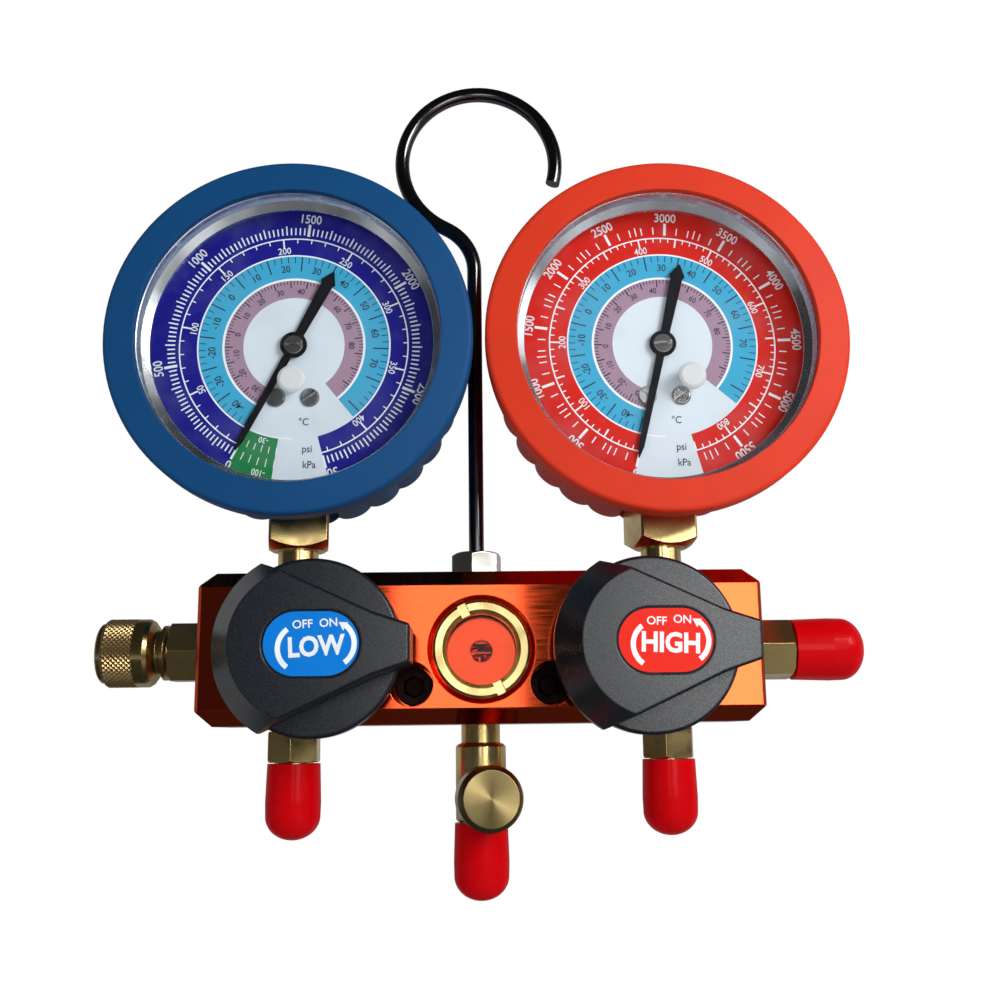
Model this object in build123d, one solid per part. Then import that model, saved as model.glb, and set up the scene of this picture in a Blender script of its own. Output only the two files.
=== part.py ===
from build123d import *
from math import acos, cos, pi, radians, sin, sqrt, tan
import os

# Two-gauge refrigerant manifold, in millimetres.
# Origin: centre of the block's back face. +X is to the right as seen from the front,
# +Y points away from the person reading the gauges, +Z is up.

os.makedirs("parts", exist_ok=True)

# ---- driving dimensions ----------------------------------------------------------------

FIT = 0.05                 # radial clearance of a running fit
THREAD_GAP = 0.05          # radial clearance where a thread is drawn as a plain cylinder

BLOCK_LENGTH = 142.0
BLOCK_HEIGHT = 38.4
BLOCK_DEPTH = 30.0
BLOCK_CHAMFER = 3.9        # long front edges and the four corners of the front view
BLOCK_BREAK = 1.0          # small chamfer on the remaining edges
MID_Y = -BLOCK_DEPTH / 2   # plane of all ports, stems and the hook
AXIS_Z = -0.8              # height of the valve and sight glass axes
PASSAGE_R = 1.8            # passages drilled in from the ports
GALLERY_R = 2.1            # long passage between the two valves
PORT_BORE_R = 4.85         # tapped ports of the block
PORT_BORE_DEPTH = 10.0
PORT_THREAD_LENGTH = 8.0

SCREW_X = 17.6             # two panel screws, left and right of the sight glass
SCREW_Z = -9.3
SCREW_R = 3.3
SCREW_HEAD_R = 5.5
SCREW_HEAD_DEPTH = 22.0

SIGHT_RING_R = 12.3
SIGHT_WINDOW_R = 8.9
SIGHT_RING_LENGTH = 5.0
SIGHT_RING_PROUD = 0.6
SIGHT_SLOT_WIDTH = 2.2
SIGHT_SLOT_ANGLE = 114.5
SIGHT_GLASS_R = 11.0
SIGHT_FLOOR_Y = -20.8
SIGHT_SEAL_THICKNESS = 1.0
SIGHT_HOLE_R = 2.8

VALVE_X = 41.0
CAVITY_R = 7.5
CAVITY_BACK_Y = -8.0
BALL_R = 6.0
BALL_BORE_R = 2.1
STEM_R = 3.0
STEM_COLLAR_R = 4.5
BONNET_R = 8.5
BONNET_SEAT_Y = -22.6
BONNET_FLATS = 19.0
BONNET_HEAD = 2.6

KNOB_DISC_R = 21.6
KNOB_REAR_Y = -33.4
KNOB_DISC_Y = -41.0        # front of the round base
KNOB_FACE_Y = -52.6        # front of the raised grip
KNOB_ARC_R = 23.6          # wide end of the raised grip
KNOB_ARC_ANGLE = 121.0
KNOB_TOP_R = 17.8          # its radius at the front, after the bevel
KNOB_POINTER_X = 24.3
KNOB_POINTER_HALF = 4.5
KNOB_WAIST_X = 15.5
KNOB_WAIST_HALF = 7.4
LABEL_X = 1.6
LABEL_LENGTH = 23.0
LABEL_WIDTH = 15.8
LABEL_THICKNESS = 0.8

GAUGE_X = 48.2
GAUGE_Z = 78.2
BOOT_RING_R = 46.7
BOOT_RING_ROUND = 1.4
BOOT_RING_INNER_R = 38.6
BOOT_FRONT_Y = -42.0
BOOT_RING_REAR_Y = -33.4
BOOT_REAR_Y = -2.0
BOOT_VALLEY_R = 41.7
BOOT_CREST_R = 43.4
BOOT_LOBES = 28
BOOT_BACK_HOLE_R = 20.0
CASE_R = 39.8
CASE_WALL = 0.8
CASE_REAR_Y = -4.2
CASE_FRONT_Y = -39.6
LENS_FRONT_Y = -34.0
LENS_REAR_Y = -31.9
BEZEL_WALL = 0.6
BEZEL_LIP_R = 36.4         # the sloped lip that holds the lens down
BEZEL_LIP_RISE = 1.7
DIAL_FRONT_Y = -29.4
DIAL_THICKNESS = 0.5
DIAL_R = 37.8
DIAL_SCREW_X = 4.4
DIAL_SCREW_Z = -14.0
DIAL_SCREW_R = 2.5
PLUG_R = 3.0

SOCKET_WIDTH = 15.5        # square wrench block of the gauge socket
SOCKET_BOTTOM_Z = 26.3
SOCKET_TURN = {"low": 8.0, "high": 11.0}
SOCKET_NECK_R = 5.3
SOCKET_THREAD_R = 4.8
SOCKET_HEAD = 12.0         # square inner block that carries the tube and the movement
SOCKET_HEAD_TOP = -27.0    # below the gauge axis

MODULE = 0.4
PINION_TEETH = 10
SECTOR_TEETH = 80          # of the full circle
SECTOR_DRAWN = range(-10, 3)
CENTRE_DISTANCE = MODULE * (PINION_TEETH + SECTOR_TEETH) / 2
TAIL_RADIUS = 5.5
TAIL_ANGLE = 250.0
ARBOR_R = 0.8
PIVOT_R = 1.0
PIN_R = 0.6
PLATE_FRONT_Y = -25.6
PLATE_REAR_Y = -19.6
PLATE_THICKNESS = 0.9
SECTOR_Y = (-23.0, -22.0)
LINK_Y = (-21.7, -21.1)
TUBE_R = 30.0
TUBE_START = 262.0         # degrees, seen from the front
TUBE_END = -38.0
TUBE_DEPTH = 7.0
TUBE_THICKNESS = 2.8

POINTER_TIP = 31.5
POINTER_TAIL = 22.4
POINTER_HEAD = 3.2         # length of the spade at the end of the tail
POINTER_HEAD_HALF = 2.1
POINTER_ANGLE = {"low": 207.0, "high": 193.4}   # clockwise from the top, at zero pressure
PLUG_PLACE = {"low": (0.0, -10.0), "high": (6.9, -9.5)}

HOOK_X = -1.0
HOOK_WIRE_R = 2.0
HOOK_BEND_R = 14.0
HOOK_LOOP_R = 21.7
HOOK_LOOP_X = 0.5
HOOK_LOOP_Z = 137.4
HOOK_END_ANGLE = -16.0
HOOK_FOOT_Z = 10.6
HOOK_NUT_FLATS = 12.0
HOOK_NUT_TOP_Z = 25.4

FLARE_R = 5.55             # small hose nipple, over the thread crests
BIG_FLARE_R = 6.35
CAP_WALL = 1.5

TEE_X = -0.3
TEE_BRANCH_Z = -37.2
TEE_TURN = 8.0             # the forward branch leans a little to the right

SIDES = {"low": -1, "high": 1}
BLOCK_TOP = BLOCK_HEIGHT / 2
BLOCK_END = BLOCK_LENGTH / 2


# ---- small tools -----------------------------------------------------------------------

def save(name, shape):
    shape.label = name
    export_step(shape, f"parts/{name}.step")


def outline(*points):
    return make_face(Polyline(*points, close=True))


def turned_y(points, x=0.0, z=0.0):
    """Turn (radius, y) points about an axis along Y."""
    return Pos(x, 0, z) * revolve(outline(*points), Axis.Y)


def turned_z(points, x=0.0, y=MID_Y):
    """Turn (radius, z) points about an axis along Z."""
    return Pos(x, y, 0) * revolve(Plane.XZ * outline(*points), Axis.Z)


def turned_x(points, y=MID_Y, z=0.0):
    """Turn (x, radius) points about an axis along X."""
    return Pos(0, y, z) * revolve(outline(*points), Axis.X)


def rod_y(radius, y_front, y_rear, x=0.0, z=0.0):
    return turned_y([(0, y_front), (radius, y_front), (radius, y_rear), (0, y_rear)], x, z)


def rod_z(radius, z_low, z_high, x=0.0, y=MID_Y):
    return turned_z([(0, z_low), (radius, z_low), (radius, z_high), (0, z_high)], x, y)


def rod_x(radius, x_low, x_high, y=MID_Y, z=0.0):
    return turned_x([(x_low, 0), (x_low, radius), (x_high, radius), (x_high, 0)], y, z)


def front_plate(face, y_front, y_rear, x=0.0, z=0.0):
    """Extrude a face drawn in the front view (first axis X, second axis Z)."""
    plane = Plane(origin=(x, y_rear, z), x_dir=(1, 0, 0), z_dir=(0, -1, 0))
    return extrude(plane * face, amount=y_rear - y_front)


def polar(radius, degrees_ccw, centre=(0.0, 0.0)):
    angle = radians(degrees_ccw)
    return centre[0] + radius * cos(angle), centre[1] + radius * sin(angle)


# ---- manifold block --------------------------------------------------------------------

def block_body():
    half, top, cut, small = BLOCK_END, BLOCK_TOP, BLOCK_CHAMFER, BLOCK_BREAK
    front, back = -BLOCK_DEPTH, 0.0
    front_view = front_plate(outline(
        (-half, -top + cut), (-half + cut, -top), (half - cut, -top), (half, -top + cut),
        (half, top - cut), (half - cut, top), (-half + cut, top), (-half, top - cut)),
        front, back)
    end_view = Plane(origin=(-half, 0, 0), x_dir=(0, 1, 0), z_dir=(1, 0, 0)) * outline(
        (front, -top + cut), (front + cut, -top), (back - small, -top), (back, -top + small),
        (back, top - small), (back - small, top), (front + cut, top), (front, top - cut))
    top_view = Plane.XY.offset(-top) * outline(
        (-half, front + small), (-half + small, front), (half - small, front),
        (half, front + small), (half, back - small), (half - small, back),
        (-half + small, back), (-half, back - small))
    return front_view & extrude(end_view, amount=BLOCK_LENGTH) & extrude(top_view, amount=2 * top)


def manifold_block():
    block = block_body()
    port_top = BLOCK_TOP - PORT_BORE_DEPTH
    block -= rod_x(GALLERY_R, -VALVE_X, VALVE_X, z=AXIS_Z)
    for sign in SIDES.values():
        x = sign * VALVE_X
        port_x = sign * GAUGE_X
        block -= rod_y(CAVITY_R, -BLOCK_DEPTH, CAVITY_BACK_Y, x, AXIS_Z)
        block -= rod_y(BONNET_R + THREAD_GAP, -BLOCK_DEPTH, BONNET_SEAT_Y, x, AXIS_Z)
        block -= seat_blank(sign)
        block -= rod_z(PASSAGE_R, -port_top, port_top, port_x)
        block -= rod_z(PORT_BORE_R, port_top, BLOCK_TOP, port_x)
        block -= rod_z(PORT_BORE_R, -BLOCK_TOP, -port_top, port_x)
        block -= rod_y(SCREW_R, -BLOCK_DEPTH, 0, sign * SCREW_X, SCREW_Z)
        block -= rod_y(SCREW_HEAD_R, -BLOCK_DEPTH, SCREW_HEAD_DEPTH - BLOCK_DEPTH,
                       sign * SCREW_X, SCREW_Z)
    for port_z, sign in ((LEFT_PORT_Z, -1), (AXIS_Z, 1)):
        ends = sorted((sign * (BLOCK_END - PORT_BORE_DEPTH), sign * BLOCK_END))
        block -= rod_x(PORT_BORE_R, *ends, z=port_z)
        side_ends = sorted((sign * GAUGE_X, sign * BLOCK_END))
        block -= rod_x(PASSAGE_R - 0.2, *side_ends, z=port_z)
    block -= rod_z(PORT_BORE_R, -BLOCK_TOP, -port_top, TEE_X)
    block -= rod_z(PASSAGE_R, -port_top, AXIS_Z, TEE_X)
    block -= rod_z(HOOK_SPIGOT_R + THREAD_GAP, HOOK_FOOT_Z - 1.2, BLOCK_TOP, HOOK_X)
    block -= sight_pocket()
    return block


# ---- sight glass -----------------------------------------------------------------------

def sight_pocket():
    rim = SIGHT_RING_R + 1.2
    pocket_r = SIGHT_RING_R + THREAD_GAP
    return turned_y([(0, -BLOCK_DEPTH), (rim, -BLOCK_DEPTH), (rim, -BLOCK_DEPTH + 0.8),
                     (pocket_r, -BLOCK_DEPTH + 1.6), (pocket_r, SIGHT_FLOOR_Y),
                     (SIGHT_HOLE_R, SIGHT_FLOOR_Y), (SIGHT_HOLE_R, MID_Y), (0, MID_Y)],
                    0, AXIS_Z)


def sight_glass_ring():
    front = -BLOCK_DEPTH - SIGHT_RING_PROUD
    rear = front + SIGHT_RING_LENGTH
    ring = turned_y([(SIGHT_WINDOW_R, rear), (SIGHT_WINDOW_R, front + 0.9),
                     (SIGHT_WINDOW_R + 0.9, front), (SIGHT_RING_R - 0.7, front),
                     (SIGHT_RING_R, front + 0.7), (SIGHT_RING_R, rear)], 0, AXIS_Z)
    slot = Rot(0, 0, SIGHT_SLOT_ANGLE) * Rectangle(2.5 * SIGHT_RING_R, SIGHT_SLOT_WIDTH)
    return ring - front_plate(slot, front - 1, front + 1.4, 0, AXIS_Z)


def sight_glass():
    front = -BLOCK_DEPTH - SIGHT_RING_PROUD + SIGHT_RING_LENGTH
    rear = SIGHT_FLOOR_Y - SIGHT_SEAL_THICKNESS
    return rod_y(SIGHT_GLASS_R, front, rear, 0, AXIS_Z)


def sight_glass_seal():
    front = SIGHT_FLOOR_Y - SIGHT_SEAL_THICKNESS
    return turned_y([(SIGHT_WINDOW_R, front), (SIGHT_GLASS_R, front),
                     (SIGHT_GLASS_R, SIGHT_FLOOR_Y), (SIGHT_WINDOW_R, SIGHT_FLOOR_Y)],
                    0, AXIS_Z)


# ---- quarter-turn valve ----------------------------------------------------------------

def seat_blank(sign):
    inner = VALVE_X - BALL_R - 1.4
    return rod_x(4.5, *sorted((sign * inner, sign * (inner + 3.0))), z=AXIS_Z)


def valve_seats():
    ball_room = Pos(VALVE_X, MID_Y, AXIS_Z) * Sphere(BALL_R + FIT)
    seat = seat_blank(1) - ball_room - rod_x(GALLERY_R, 0, VALVE_X, z=AXIS_Z)
    return Compound([seat.solid(), mirror(seat, Plane.YZ).solid()])


def valve_ball(x):
    ball = Pos(x, MID_Y, AXIS_Z) * Sphere(BALL_R)
    ball -= rod_z(BALL_BORE_R, AXIS_Z - BALL_R - 1, AXIS_Z + BALL_R + 1, x)
    slot_front = MID_Y - BALL_R - 1
    return ball - front_plate(Rectangle(2 * BALL_R + 1, 1.6), slot_front, slot_front + 2.6,
                              x, AXIS_Z)


def valve_stem(x):
    collar_front = BONNET_SEAT_Y + 0.2
    stem = turned_y([(0, KNOB_FACE_Y + 6.6), (STEM_R - 0.6, KNOB_FACE_Y + 6.6),
                     (STEM_R, KNOB_FACE_Y + 7.2), (STEM_R, collar_front),
                     (STEM_COLLAR_R, collar_front), (STEM_COLLAR_R, collar_front + 1.2),
                     (0, collar_front + 1.2)], x, AXIS_Z)
    tang_rear = MID_Y - BALL_R + 1.5
    stem += front_plate(Rectangle(2 * STEM_R, 1.4), collar_front + 1.1, tang_rear, x, AXIS_Z)
    flat = Pos(0, STEM_R + 1.2) * Rectangle(4 * STEM_R, 4)
    stem -= front_plate(flat, KNOB_FACE_Y, KNOB_REAR_Y - 1, x, AXIS_Z)
    return stem - rod_y(1.25, KNOB_FACE_Y, KNOB_FACE_Y + 14, x, AXIS_Z)


def valve_bonnet(x):
    head_front = -BLOCK_DEPTH - BONNET_HEAD
    hexagon = RegularPolygon(BONNET_FLATS / 2, 6, major_radius=False)
    bonnet = rod_y(BONNET_R, -BLOCK_DEPTH, BONNET_SEAT_Y, x, AXIS_Z)
    bonnet += front_plate(hexagon, head_front, -BLOCK_DEPTH, x, AXIS_Z)
    return bonnet - rod_y(STEM_R + FIT, head_front - 1, BONNET_SEAT_Y + 1, x, AXIS_Z)


def grip_outline():
    top_tip = polar(KNOB_ARC_R, KNOB_ARC_ANGLE)
    low_tip = polar(KNOB_ARC_R, -KNOB_ARC_ANGLE)
    right = [(KNOB_WAIST_X, -KNOB_WAIST_HALF), (KNOB_POINTER_X, -KNOB_POINTER_HALF),
             (KNOB_POINTER_X, KNOB_POINTER_HALF), (KNOB_WAIST_X, KNOB_WAIST_HALF)]
    arc = ThreePointArc(top_tip, (-KNOB_ARC_R, 0), low_tip)
    flanks = Polyline(low_tip, *right, top_tip)
    face = make_face(Curve() + [arc, flanks])
    waist = [v for v in face.vertices() if abs(v.X - KNOB_WAIST_X) < 0.1]
    face = fillet(waist, 14)
    corners = [v for v in face.vertices() if abs(v.X - KNOB_POINTER_X) < 0.1]
    return fillet(corners, 1.0)


def grip_bevel_tool():
    """Everything outside the bevel cone, on the wide side of the grip."""
    reach = KNOB_ARC_R + 6
    edge_y = KNOB_DISC_Y - 1.0
    ring = turned_y([(KNOB_ARC_R, edge_y), (KNOB_TOP_R, KNOB_FACE_Y),
                     (KNOB_TOP_R, KNOB_FACE_Y - 1), (reach, KNOB_FACE_Y - 1), (reach, edge_y)])
    wide_side = Pos(-reach - 6, (KNOB_FACE_Y + edge_y) / 2, 0) * Box(2 * reach, 20, 2 * reach)
    return ring & wide_side


def knob(x):
    body = turned_y([(0, KNOB_REAR_Y), (KNOB_DISC_R - 1.2, KNOB_REAR_Y),
                     (KNOB_DISC_R, KNOB_REAR_Y - 1.2), (KNOB_DISC_R, KNOB_DISC_Y + 0.7),
                     (KNOB_DISC_R - 0.7, KNOB_DISC_Y), (0, KNOB_DISC_Y)])
    grip = front_plate(grip_outline(), KNOB_FACE_Y, KNOB_DISC_Y + 3.5)
    front_edges = [e for e in grip.edges() if e.bounding_box().max.Y < KNOB_FACE_Y + 0.01]
    body += chamfer(front_edges, 0.6) - grip_bevel_tool()
    wall, floor_y = 2.4, KNOB_DISC_Y + 2.4
    hollow = turned_y([(6.2, KNOB_REAR_Y + 1), (KNOB_DISC_R - wall, KNOB_REAR_Y + 1),
                       (KNOB_DISC_R - wall, floor_y), (6.2, floor_y)])
    for turn in range(3):
        rib = Rot(0, 60 * turn + 30, 0) * Box(2 * KNOB_DISC_R, 40, 1.8)
        hollow -= Pos(0, KNOB_DISC_Y, 0) * rib
    bonnet_room = rod_y(BONNET_FLATS / 2 + 2.4, KNOB_REAR_Y - 1.6, KNOB_REAR_Y + 1)
    body -= hollow
    body -= bonnet_room
    recess = Pos(LABEL_X, 0) * SlotOverall(LABEL_LENGTH, LABEL_WIDTH)
    body -= front_plate(recess, KNOB_FACE_Y - 1, KNOB_FACE_Y + LABEL_THICKNESS)
    body -= rod_y(3.1, KNOB_FACE_Y - 1, KNOB_FACE_Y + 4.6)
    body = Pos(x, 0, AXIS_Z) * body
    return body - stem_socket(x)


def stem_socket(x):
    """The hole for the stem, with the flat that drives it."""
    hole = rod_y(STEM_R + 0.02, KNOB_FACE_Y + 4.6, KNOB_REAR_Y + 1, x, AXIS_Z)
    flat = Pos(0, STEM_R + 1.24) * Rectangle(4 * STEM_R, 4)
    return hole - front_plate(flat, KNOB_FACE_Y, KNOB_REAR_Y - 1.6, x, AXIS_Z)


def knob_screw(x):
    top = KNOB_FACE_Y + 1.4
    head_rear = KNOB_FACE_Y + 4.6
    screw = turned_y([(0, top), (2.6, top), (2.9, top + 0.4), (2.9, head_rear),
                      (1.25, head_rear), (1.25, KNOB_FACE_Y + 13), (0, KNOB_FACE_Y + 13)],
                     x, AXIS_Z)
    return screw - front_plate(Rectangle(6, 0.7), top - 1, top + 1, x, AXIS_Z)


def knob_label(x):
    face = Pos(LABEL_X, 0) * SlotOverall(LABEL_LENGTH - 0.1, LABEL_WIDTH - 0.1)
    return front_plate(face, KNOB_FACE_Y + 0.1, KNOB_FACE_Y + LABEL_THICKNESS, x, AXIS_Z)


# ---- gauge: housing --------------------------------------------------------------------

def socket_room():
    """The slot in boot and case for the socket, in the gauge's own frame."""
    half = SOCKET_WIDTH * 0.62
    return Pos(0, MID_Y, -BOOT_CREST_R) * Box(2 * half, 2 * half, 10)


def lobed_outline():
    step = 360 / BOOT_LOBES
    arcs = []
    for k in range(BOOT_LOBES):
        start = polar(BOOT_VALLEY_R, k * step)
        crest = polar(BOOT_CREST_R, (k + 0.5) * step)
        end = polar(BOOT_VALLEY_R, (k + 1) * step)
        arcs.append(ThreePointArc(start, crest, end))
    return make_face(Curve() + arcs)


def gauge_boot():
    envelope = turned_y([(0, BOOT_REAR_Y), (38.0, BOOT_REAR_Y), (40.8, BOOT_REAR_Y - 0.8),
                         (42.8, BOOT_REAR_Y - 3), (BOOT_CREST_R + 1, BOOT_REAR_Y - 6),
                         (BOOT_CREST_R + 1, BOOT_RING_REAR_Y), (0, BOOT_RING_REAR_Y)])
    body = front_plate(lobed_outline(), BOOT_RING_REAR_Y, BOOT_REAR_Y) & envelope
    ring_face = outline((0, BOOT_RING_REAR_Y), (BOOT_RING_R, BOOT_RING_REAR_Y),
                        (BOOT_RING_R, BOOT_FRONT_Y + 0.9), (BOOT_RING_INNER_R, BOOT_FRONT_Y),
                        (0, BOOT_FRONT_Y))
    outer = [v for v in ring_face.vertices() if v.X > BOOT_RING_R - 0.1]
    ring_face = fillet(outer, BOOT_RING_ROUND)
    body += revolve(ring_face, Axis.Y)
    body -= turned_y([(0, BOOT_FRONT_Y - 1), (BOOT_RING_INNER_R, BOOT_FRONT_Y - 1),
                      (BOOT_RING_INNER_R, CASE_FRONT_Y - 0.1), (CASE_R + 0.1, CASE_FRONT_Y - 0.1),
                      (CASE_R + 0.1, CASE_REAR_Y + 0.1), (BOOT_BACK_HOLE_R, CASE_REAR_Y + 0.1),
                      (BOOT_BACK_HOLE_R, 0), (0, 0)])
    return body - socket_room()


def gauge_case():
    inner = CASE_R - CASE_WALL
    return turned_y([(0, CASE_REAR_Y), (CASE_R - 2.5, CASE_REAR_Y), (CASE_R, CASE_REAR_Y - 2.5),
                     (CASE_R, CASE_FRONT_Y), (inner, CASE_FRONT_Y), (inner, LENS_REAR_Y),
                     (inner - 0.9, LENS_REAR_Y), (inner - 0.9, LENS_REAR_Y + 6),
                     (inner, LENS_REAR_Y + 7), (inner, CASE_REAR_Y - 3),
                     (inner - 2.2, CASE_REAR_Y - CASE_WALL), (0, CASE_REAR_Y - CASE_WALL)]
                    ) - socket_room()


def gauge_bezel():
    outer = CASE_R - CASE_WALL - 0.02
    inner = outer - BEZEL_WALL
    middle = (outer + inner) / 2
    return turned_y([(outer, LENS_FRONT_Y), (outer, CASE_FRONT_Y + 0.25), (middle, CASE_FRONT_Y),
                     (inner, CASE_FRONT_Y + 0.25), (inner, LENS_FRONT_Y - BEZEL_LIP_RISE),
                     (BEZEL_LIP_R + 0.1, LENS_FRONT_Y - 0.25), (BEZEL_LIP_R, LENS_FRONT_Y)])


def gauge_lens(plug_x, plug_z):
    lens = rod_y(CASE_R - CASE_WALL - 0.05, LENS_FRONT_Y, LENS_REAR_Y)
    return lens - rod_y(PLUG_R, LENS_FRONT_Y - 1, LENS_REAR_Y + 1, plug_x, plug_z)


def lens_plug(plug_x, plug_z):
    front = LENS_FRONT_Y - 1.1
    return turned_y([(0, front), (PLUG_R - 0.2, front), (PLUG_R + 0.6, front + 0.6),
                     (PLUG_R + 0.6, LENS_FRONT_Y), (PLUG_R, LENS_FRONT_Y), (PLUG_R, LENS_REAR_Y),
                     (0, LENS_REAR_Y)], plug_x, plug_z)


def gauge_dial():
    rear = DIAL_FRONT_Y + DIAL_THICKNESS
    dial = rod_y(DIAL_R, DIAL_FRONT_Y, rear)
    dial -= rod_y(2.2, DIAL_FRONT_Y - 1, rear + 1)
    for sign in (-1, 1):
        dial -= rod_y(1.3, DIAL_FRONT_Y - 1, rear + 1, sign * DIAL_SCREW_X, DIAL_SCREW_Z)
    return dial


def dial_screw(sign):
    head = DIAL_FRONT_Y - 0.7
    place = (sign * DIAL_SCREW_X, DIAL_SCREW_Z)
    tip = PLATE_FRONT_Y + PLATE_THICKNESS
    screw = turned_y([(0, head), (DIAL_SCREW_R - 0.3, head), (DIAL_SCREW_R, head + 0.3),
                      (DIAL_SCREW_R, DIAL_FRONT_Y), (1.2, DIAL_FRONT_Y), (1.2, tip), (0, tip)],
                     *place)
    slot = Rot(0, 0, 35 * sign) * Rectangle(6, 0.6)
    return screw - front_plate(slot, head - 1, head + 0.4, *place)


# ---- gauge: movement -------------------------------------------------------------------

SECTOR_PIVOT = (0.0, -CENTRE_DISTANCE)
TAIL_PIN = polar(TAIL_RADIUS, TAIL_ANGLE, SECTOR_PIVOT)
TUBE_TIP = polar(TUBE_R, TUBE_END)


def tooth(teeth, centre_angle):
    """Points of one stub involute tooth, from its left root to its right root."""
    pitch_r = MODULE * teeth / 2
    base_r = pitch_r * cos(radians(20))
    tip_r = pitch_r + 0.8 * MODULE
    root_r = pitch_r - 1.1 * MODULE
    half_tooth = degrees_of((pi * MODULE / 4 - 0.03) / pitch_r)
    start_r = max(base_r, root_r)
    radii = [start_r + (tip_r - start_r) * k / 3 for k in range(4)]
    flank = [(r, half_tooth + involute(base_r, pitch_r) - involute(base_r, r)) for r in radii]
    flank = [(root_r, flank[0][1] + 0.2 / teeth)] + flank
    left = [polar(r, centre_angle + angle) for r, angle in flank]
    right = [polar(r, centre_angle - angle) for r, angle in reversed(flank)]
    return left + right


def degrees_of(angle):
    return angle * 180 / pi


def involute(base_r, radius):
    """Polar angle of the involute at a radius, in degrees."""
    pressure = acos(min(1.0, base_r / radius))
    return degrees_of(tan(pressure) - pressure)


def pinion_arbor():
    pitch = 360 / PINION_TEETH
    points = []
    for k in range(PINION_TEETH):
        points += tooth(PINION_TEETH, -90 + (k + 0.5) * pitch)[::-1]
    gear = front_plate(outline(*points), SECTOR_Y[0] - 0.8, SECTOR_Y[1] + 0.8)
    front = DIAL_FRONT_Y - 2.1
    arbor = turned_y([(0, front), (2.4, front), (2.4, front + 0.3), (1.2, front + 0.3),
                      (1.2, front + 1.6), (ARBOR_R, front + 2.0),
                      (ARBOR_R, PLATE_REAR_Y + PLATE_THICKNESS + 0.5),
                      (0, PLATE_REAR_Y + PLATE_THICKNESS + 0.5)])
    collet = rod_y(1.9, PLATE_FRONT_Y - 2.2, PLATE_FRONT_Y - 0.6)
    slot = front_plate(Rectangle(6, 0.7), front - 1, front + 0.5)
    return arbor + collet + gear - slot


def sector_gear():
    pitch = 360 / SECTOR_TEETH
    points = []
    for k in reversed(SECTOR_DRAWN):
        points += tooth(SECTOR_TEETH, 90 + k * pitch)
    rim_r = 12.6
    first = 90 + (SECTOR_DRAWN[-1] + 0.7) * pitch
    last = 90 + (SECTOR_DRAWN[0] - 0.7) * pitch
    fan = outline(*points, polar(15.2, last), polar(3, last - 20), polar(3, first + 20),
                  polar(15.2, first))
    window = outline(polar(5.0, first - 12), polar(rim_r, first - 5),
                     polar(rim_r + 0.6, (first + last) / 2), polar(rim_r, last + 5),
                     polar(5.0, last + 12))
    tail = Rot(0, 0, TAIL_ANGLE) * (Pos(TAIL_RADIUS / 2, 0) * SlotOverall(TAIL_RADIUS + 2.6, 2.6))
    sector = front_plate(fan - window + Circle(3.2) + tail, *SECTOR_Y, *SECTOR_PIVOT)
    sector += rod_y(PIVOT_R, PLATE_FRONT_Y - 0.3, PLATE_REAR_Y + PLATE_THICKNESS + 0.3,
                    *SECTOR_PIVOT)
    return sector + rod_y(PIN_R, SECTOR_Y[1] - 0.5, LINK_Y[1] + 0.2, *TAIL_PIN)


def tip_link():
    dx, dz = TUBE_TIP[0] - TAIL_PIN[0], TUBE_TIP[1] - TAIL_PIN[1]
    length = sqrt(dx * dx + dz * dz)
    tilt = degrees_of(acos(dx / length))
    bar = Rot(0, 0, tilt) * (Pos(length / 2, 0) * SlotOverall(length + 3.0, 3.0))
    bar -= Circle(PIN_R + FIT)
    bar -= Pos(dx, dz) * Circle(PIN_R + 4 * FIT)
    return front_plate(bar, *LINK_Y, *TAIL_PIN)


def movement_frame():
    plate = Pos(0, -11.5) * RectangleRounded(18, 31, 2.5)
    plate -= Circle(ARBOR_R + FIT)
    plate -= Pos(*SECTOR_PIVOT) * Circle(PIVOT_R + FIT)
    rear = front_plate(plate, PLATE_REAR_Y, PLATE_REAR_Y + PLATE_THICKNESS)
    for sign in (-1, 1):
        plate -= Pos(sign * DIAL_SCREW_X, DIAL_SCREW_Z) * Circle(1.2)
    frame = rear + front_plate(plate, PLATE_FRONT_Y, PLATE_FRONT_Y + PLATE_THICKNESS)
    for place in ((-7.2, -22.0), (7.2, -25.2)):
        frame += rod_y(1.2, PLATE_FRONT_Y, PLATE_REAR_Y + PLATE_THICKNESS, *place)
    foot = Pos(0, SOCKET_HEAD_TOP + 0.8) * Rectangle(SOCKET_HEAD, 1.6)
    return frame + front_plate(foot, PLATE_FRONT_Y, MID_Y)


def bourdon_tube():
    section = Plane(origin=(TUBE_R, MID_Y + 0.5, 0), z_dir=(0, 0, 1)) * (
        SlotOverall(TUBE_DEPTH, TUBE_THICKNESS, rotation=90))
    arc = revolve(section, Axis.Y, revolution_arc=TUBE_START - TUBE_END)
    tube = Rot(0, -TUBE_START, 0) * arc
    return tube + rod_y(PIN_R, LINK_Y[0] - 0.2, MID_Y, *TUBE_TIP)


def hairspring():
    """A flat spiral of half circles about the arbor, with its outer end pinned."""
    pitch, width, thickness = 0.6, 1.0, 0.16
    front = PLATE_FRONT_Y - 2.0
    spiral = Sketch()
    for k in range(8):
        upper = k % 2 == 0
        radius = 2.4 + k * pitch / 2
        centre = 0.0 if upper else pitch / 2
        ring = Circle(radius + thickness / 2) - Circle(radius - thickness / 2)
        half = Pos(0, 10 if upper else -10) * Rectangle(40, 20)
        spiral += Pos(centre, 0) * (ring & half)
    stud = Pos(5.0, -0.7) * Rectangle(0.9, 1.4)
    spring = front_plate(spiral, front, front + width)
    return spring + front_plate(stud, front, PLATE_FRONT_Y)


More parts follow.
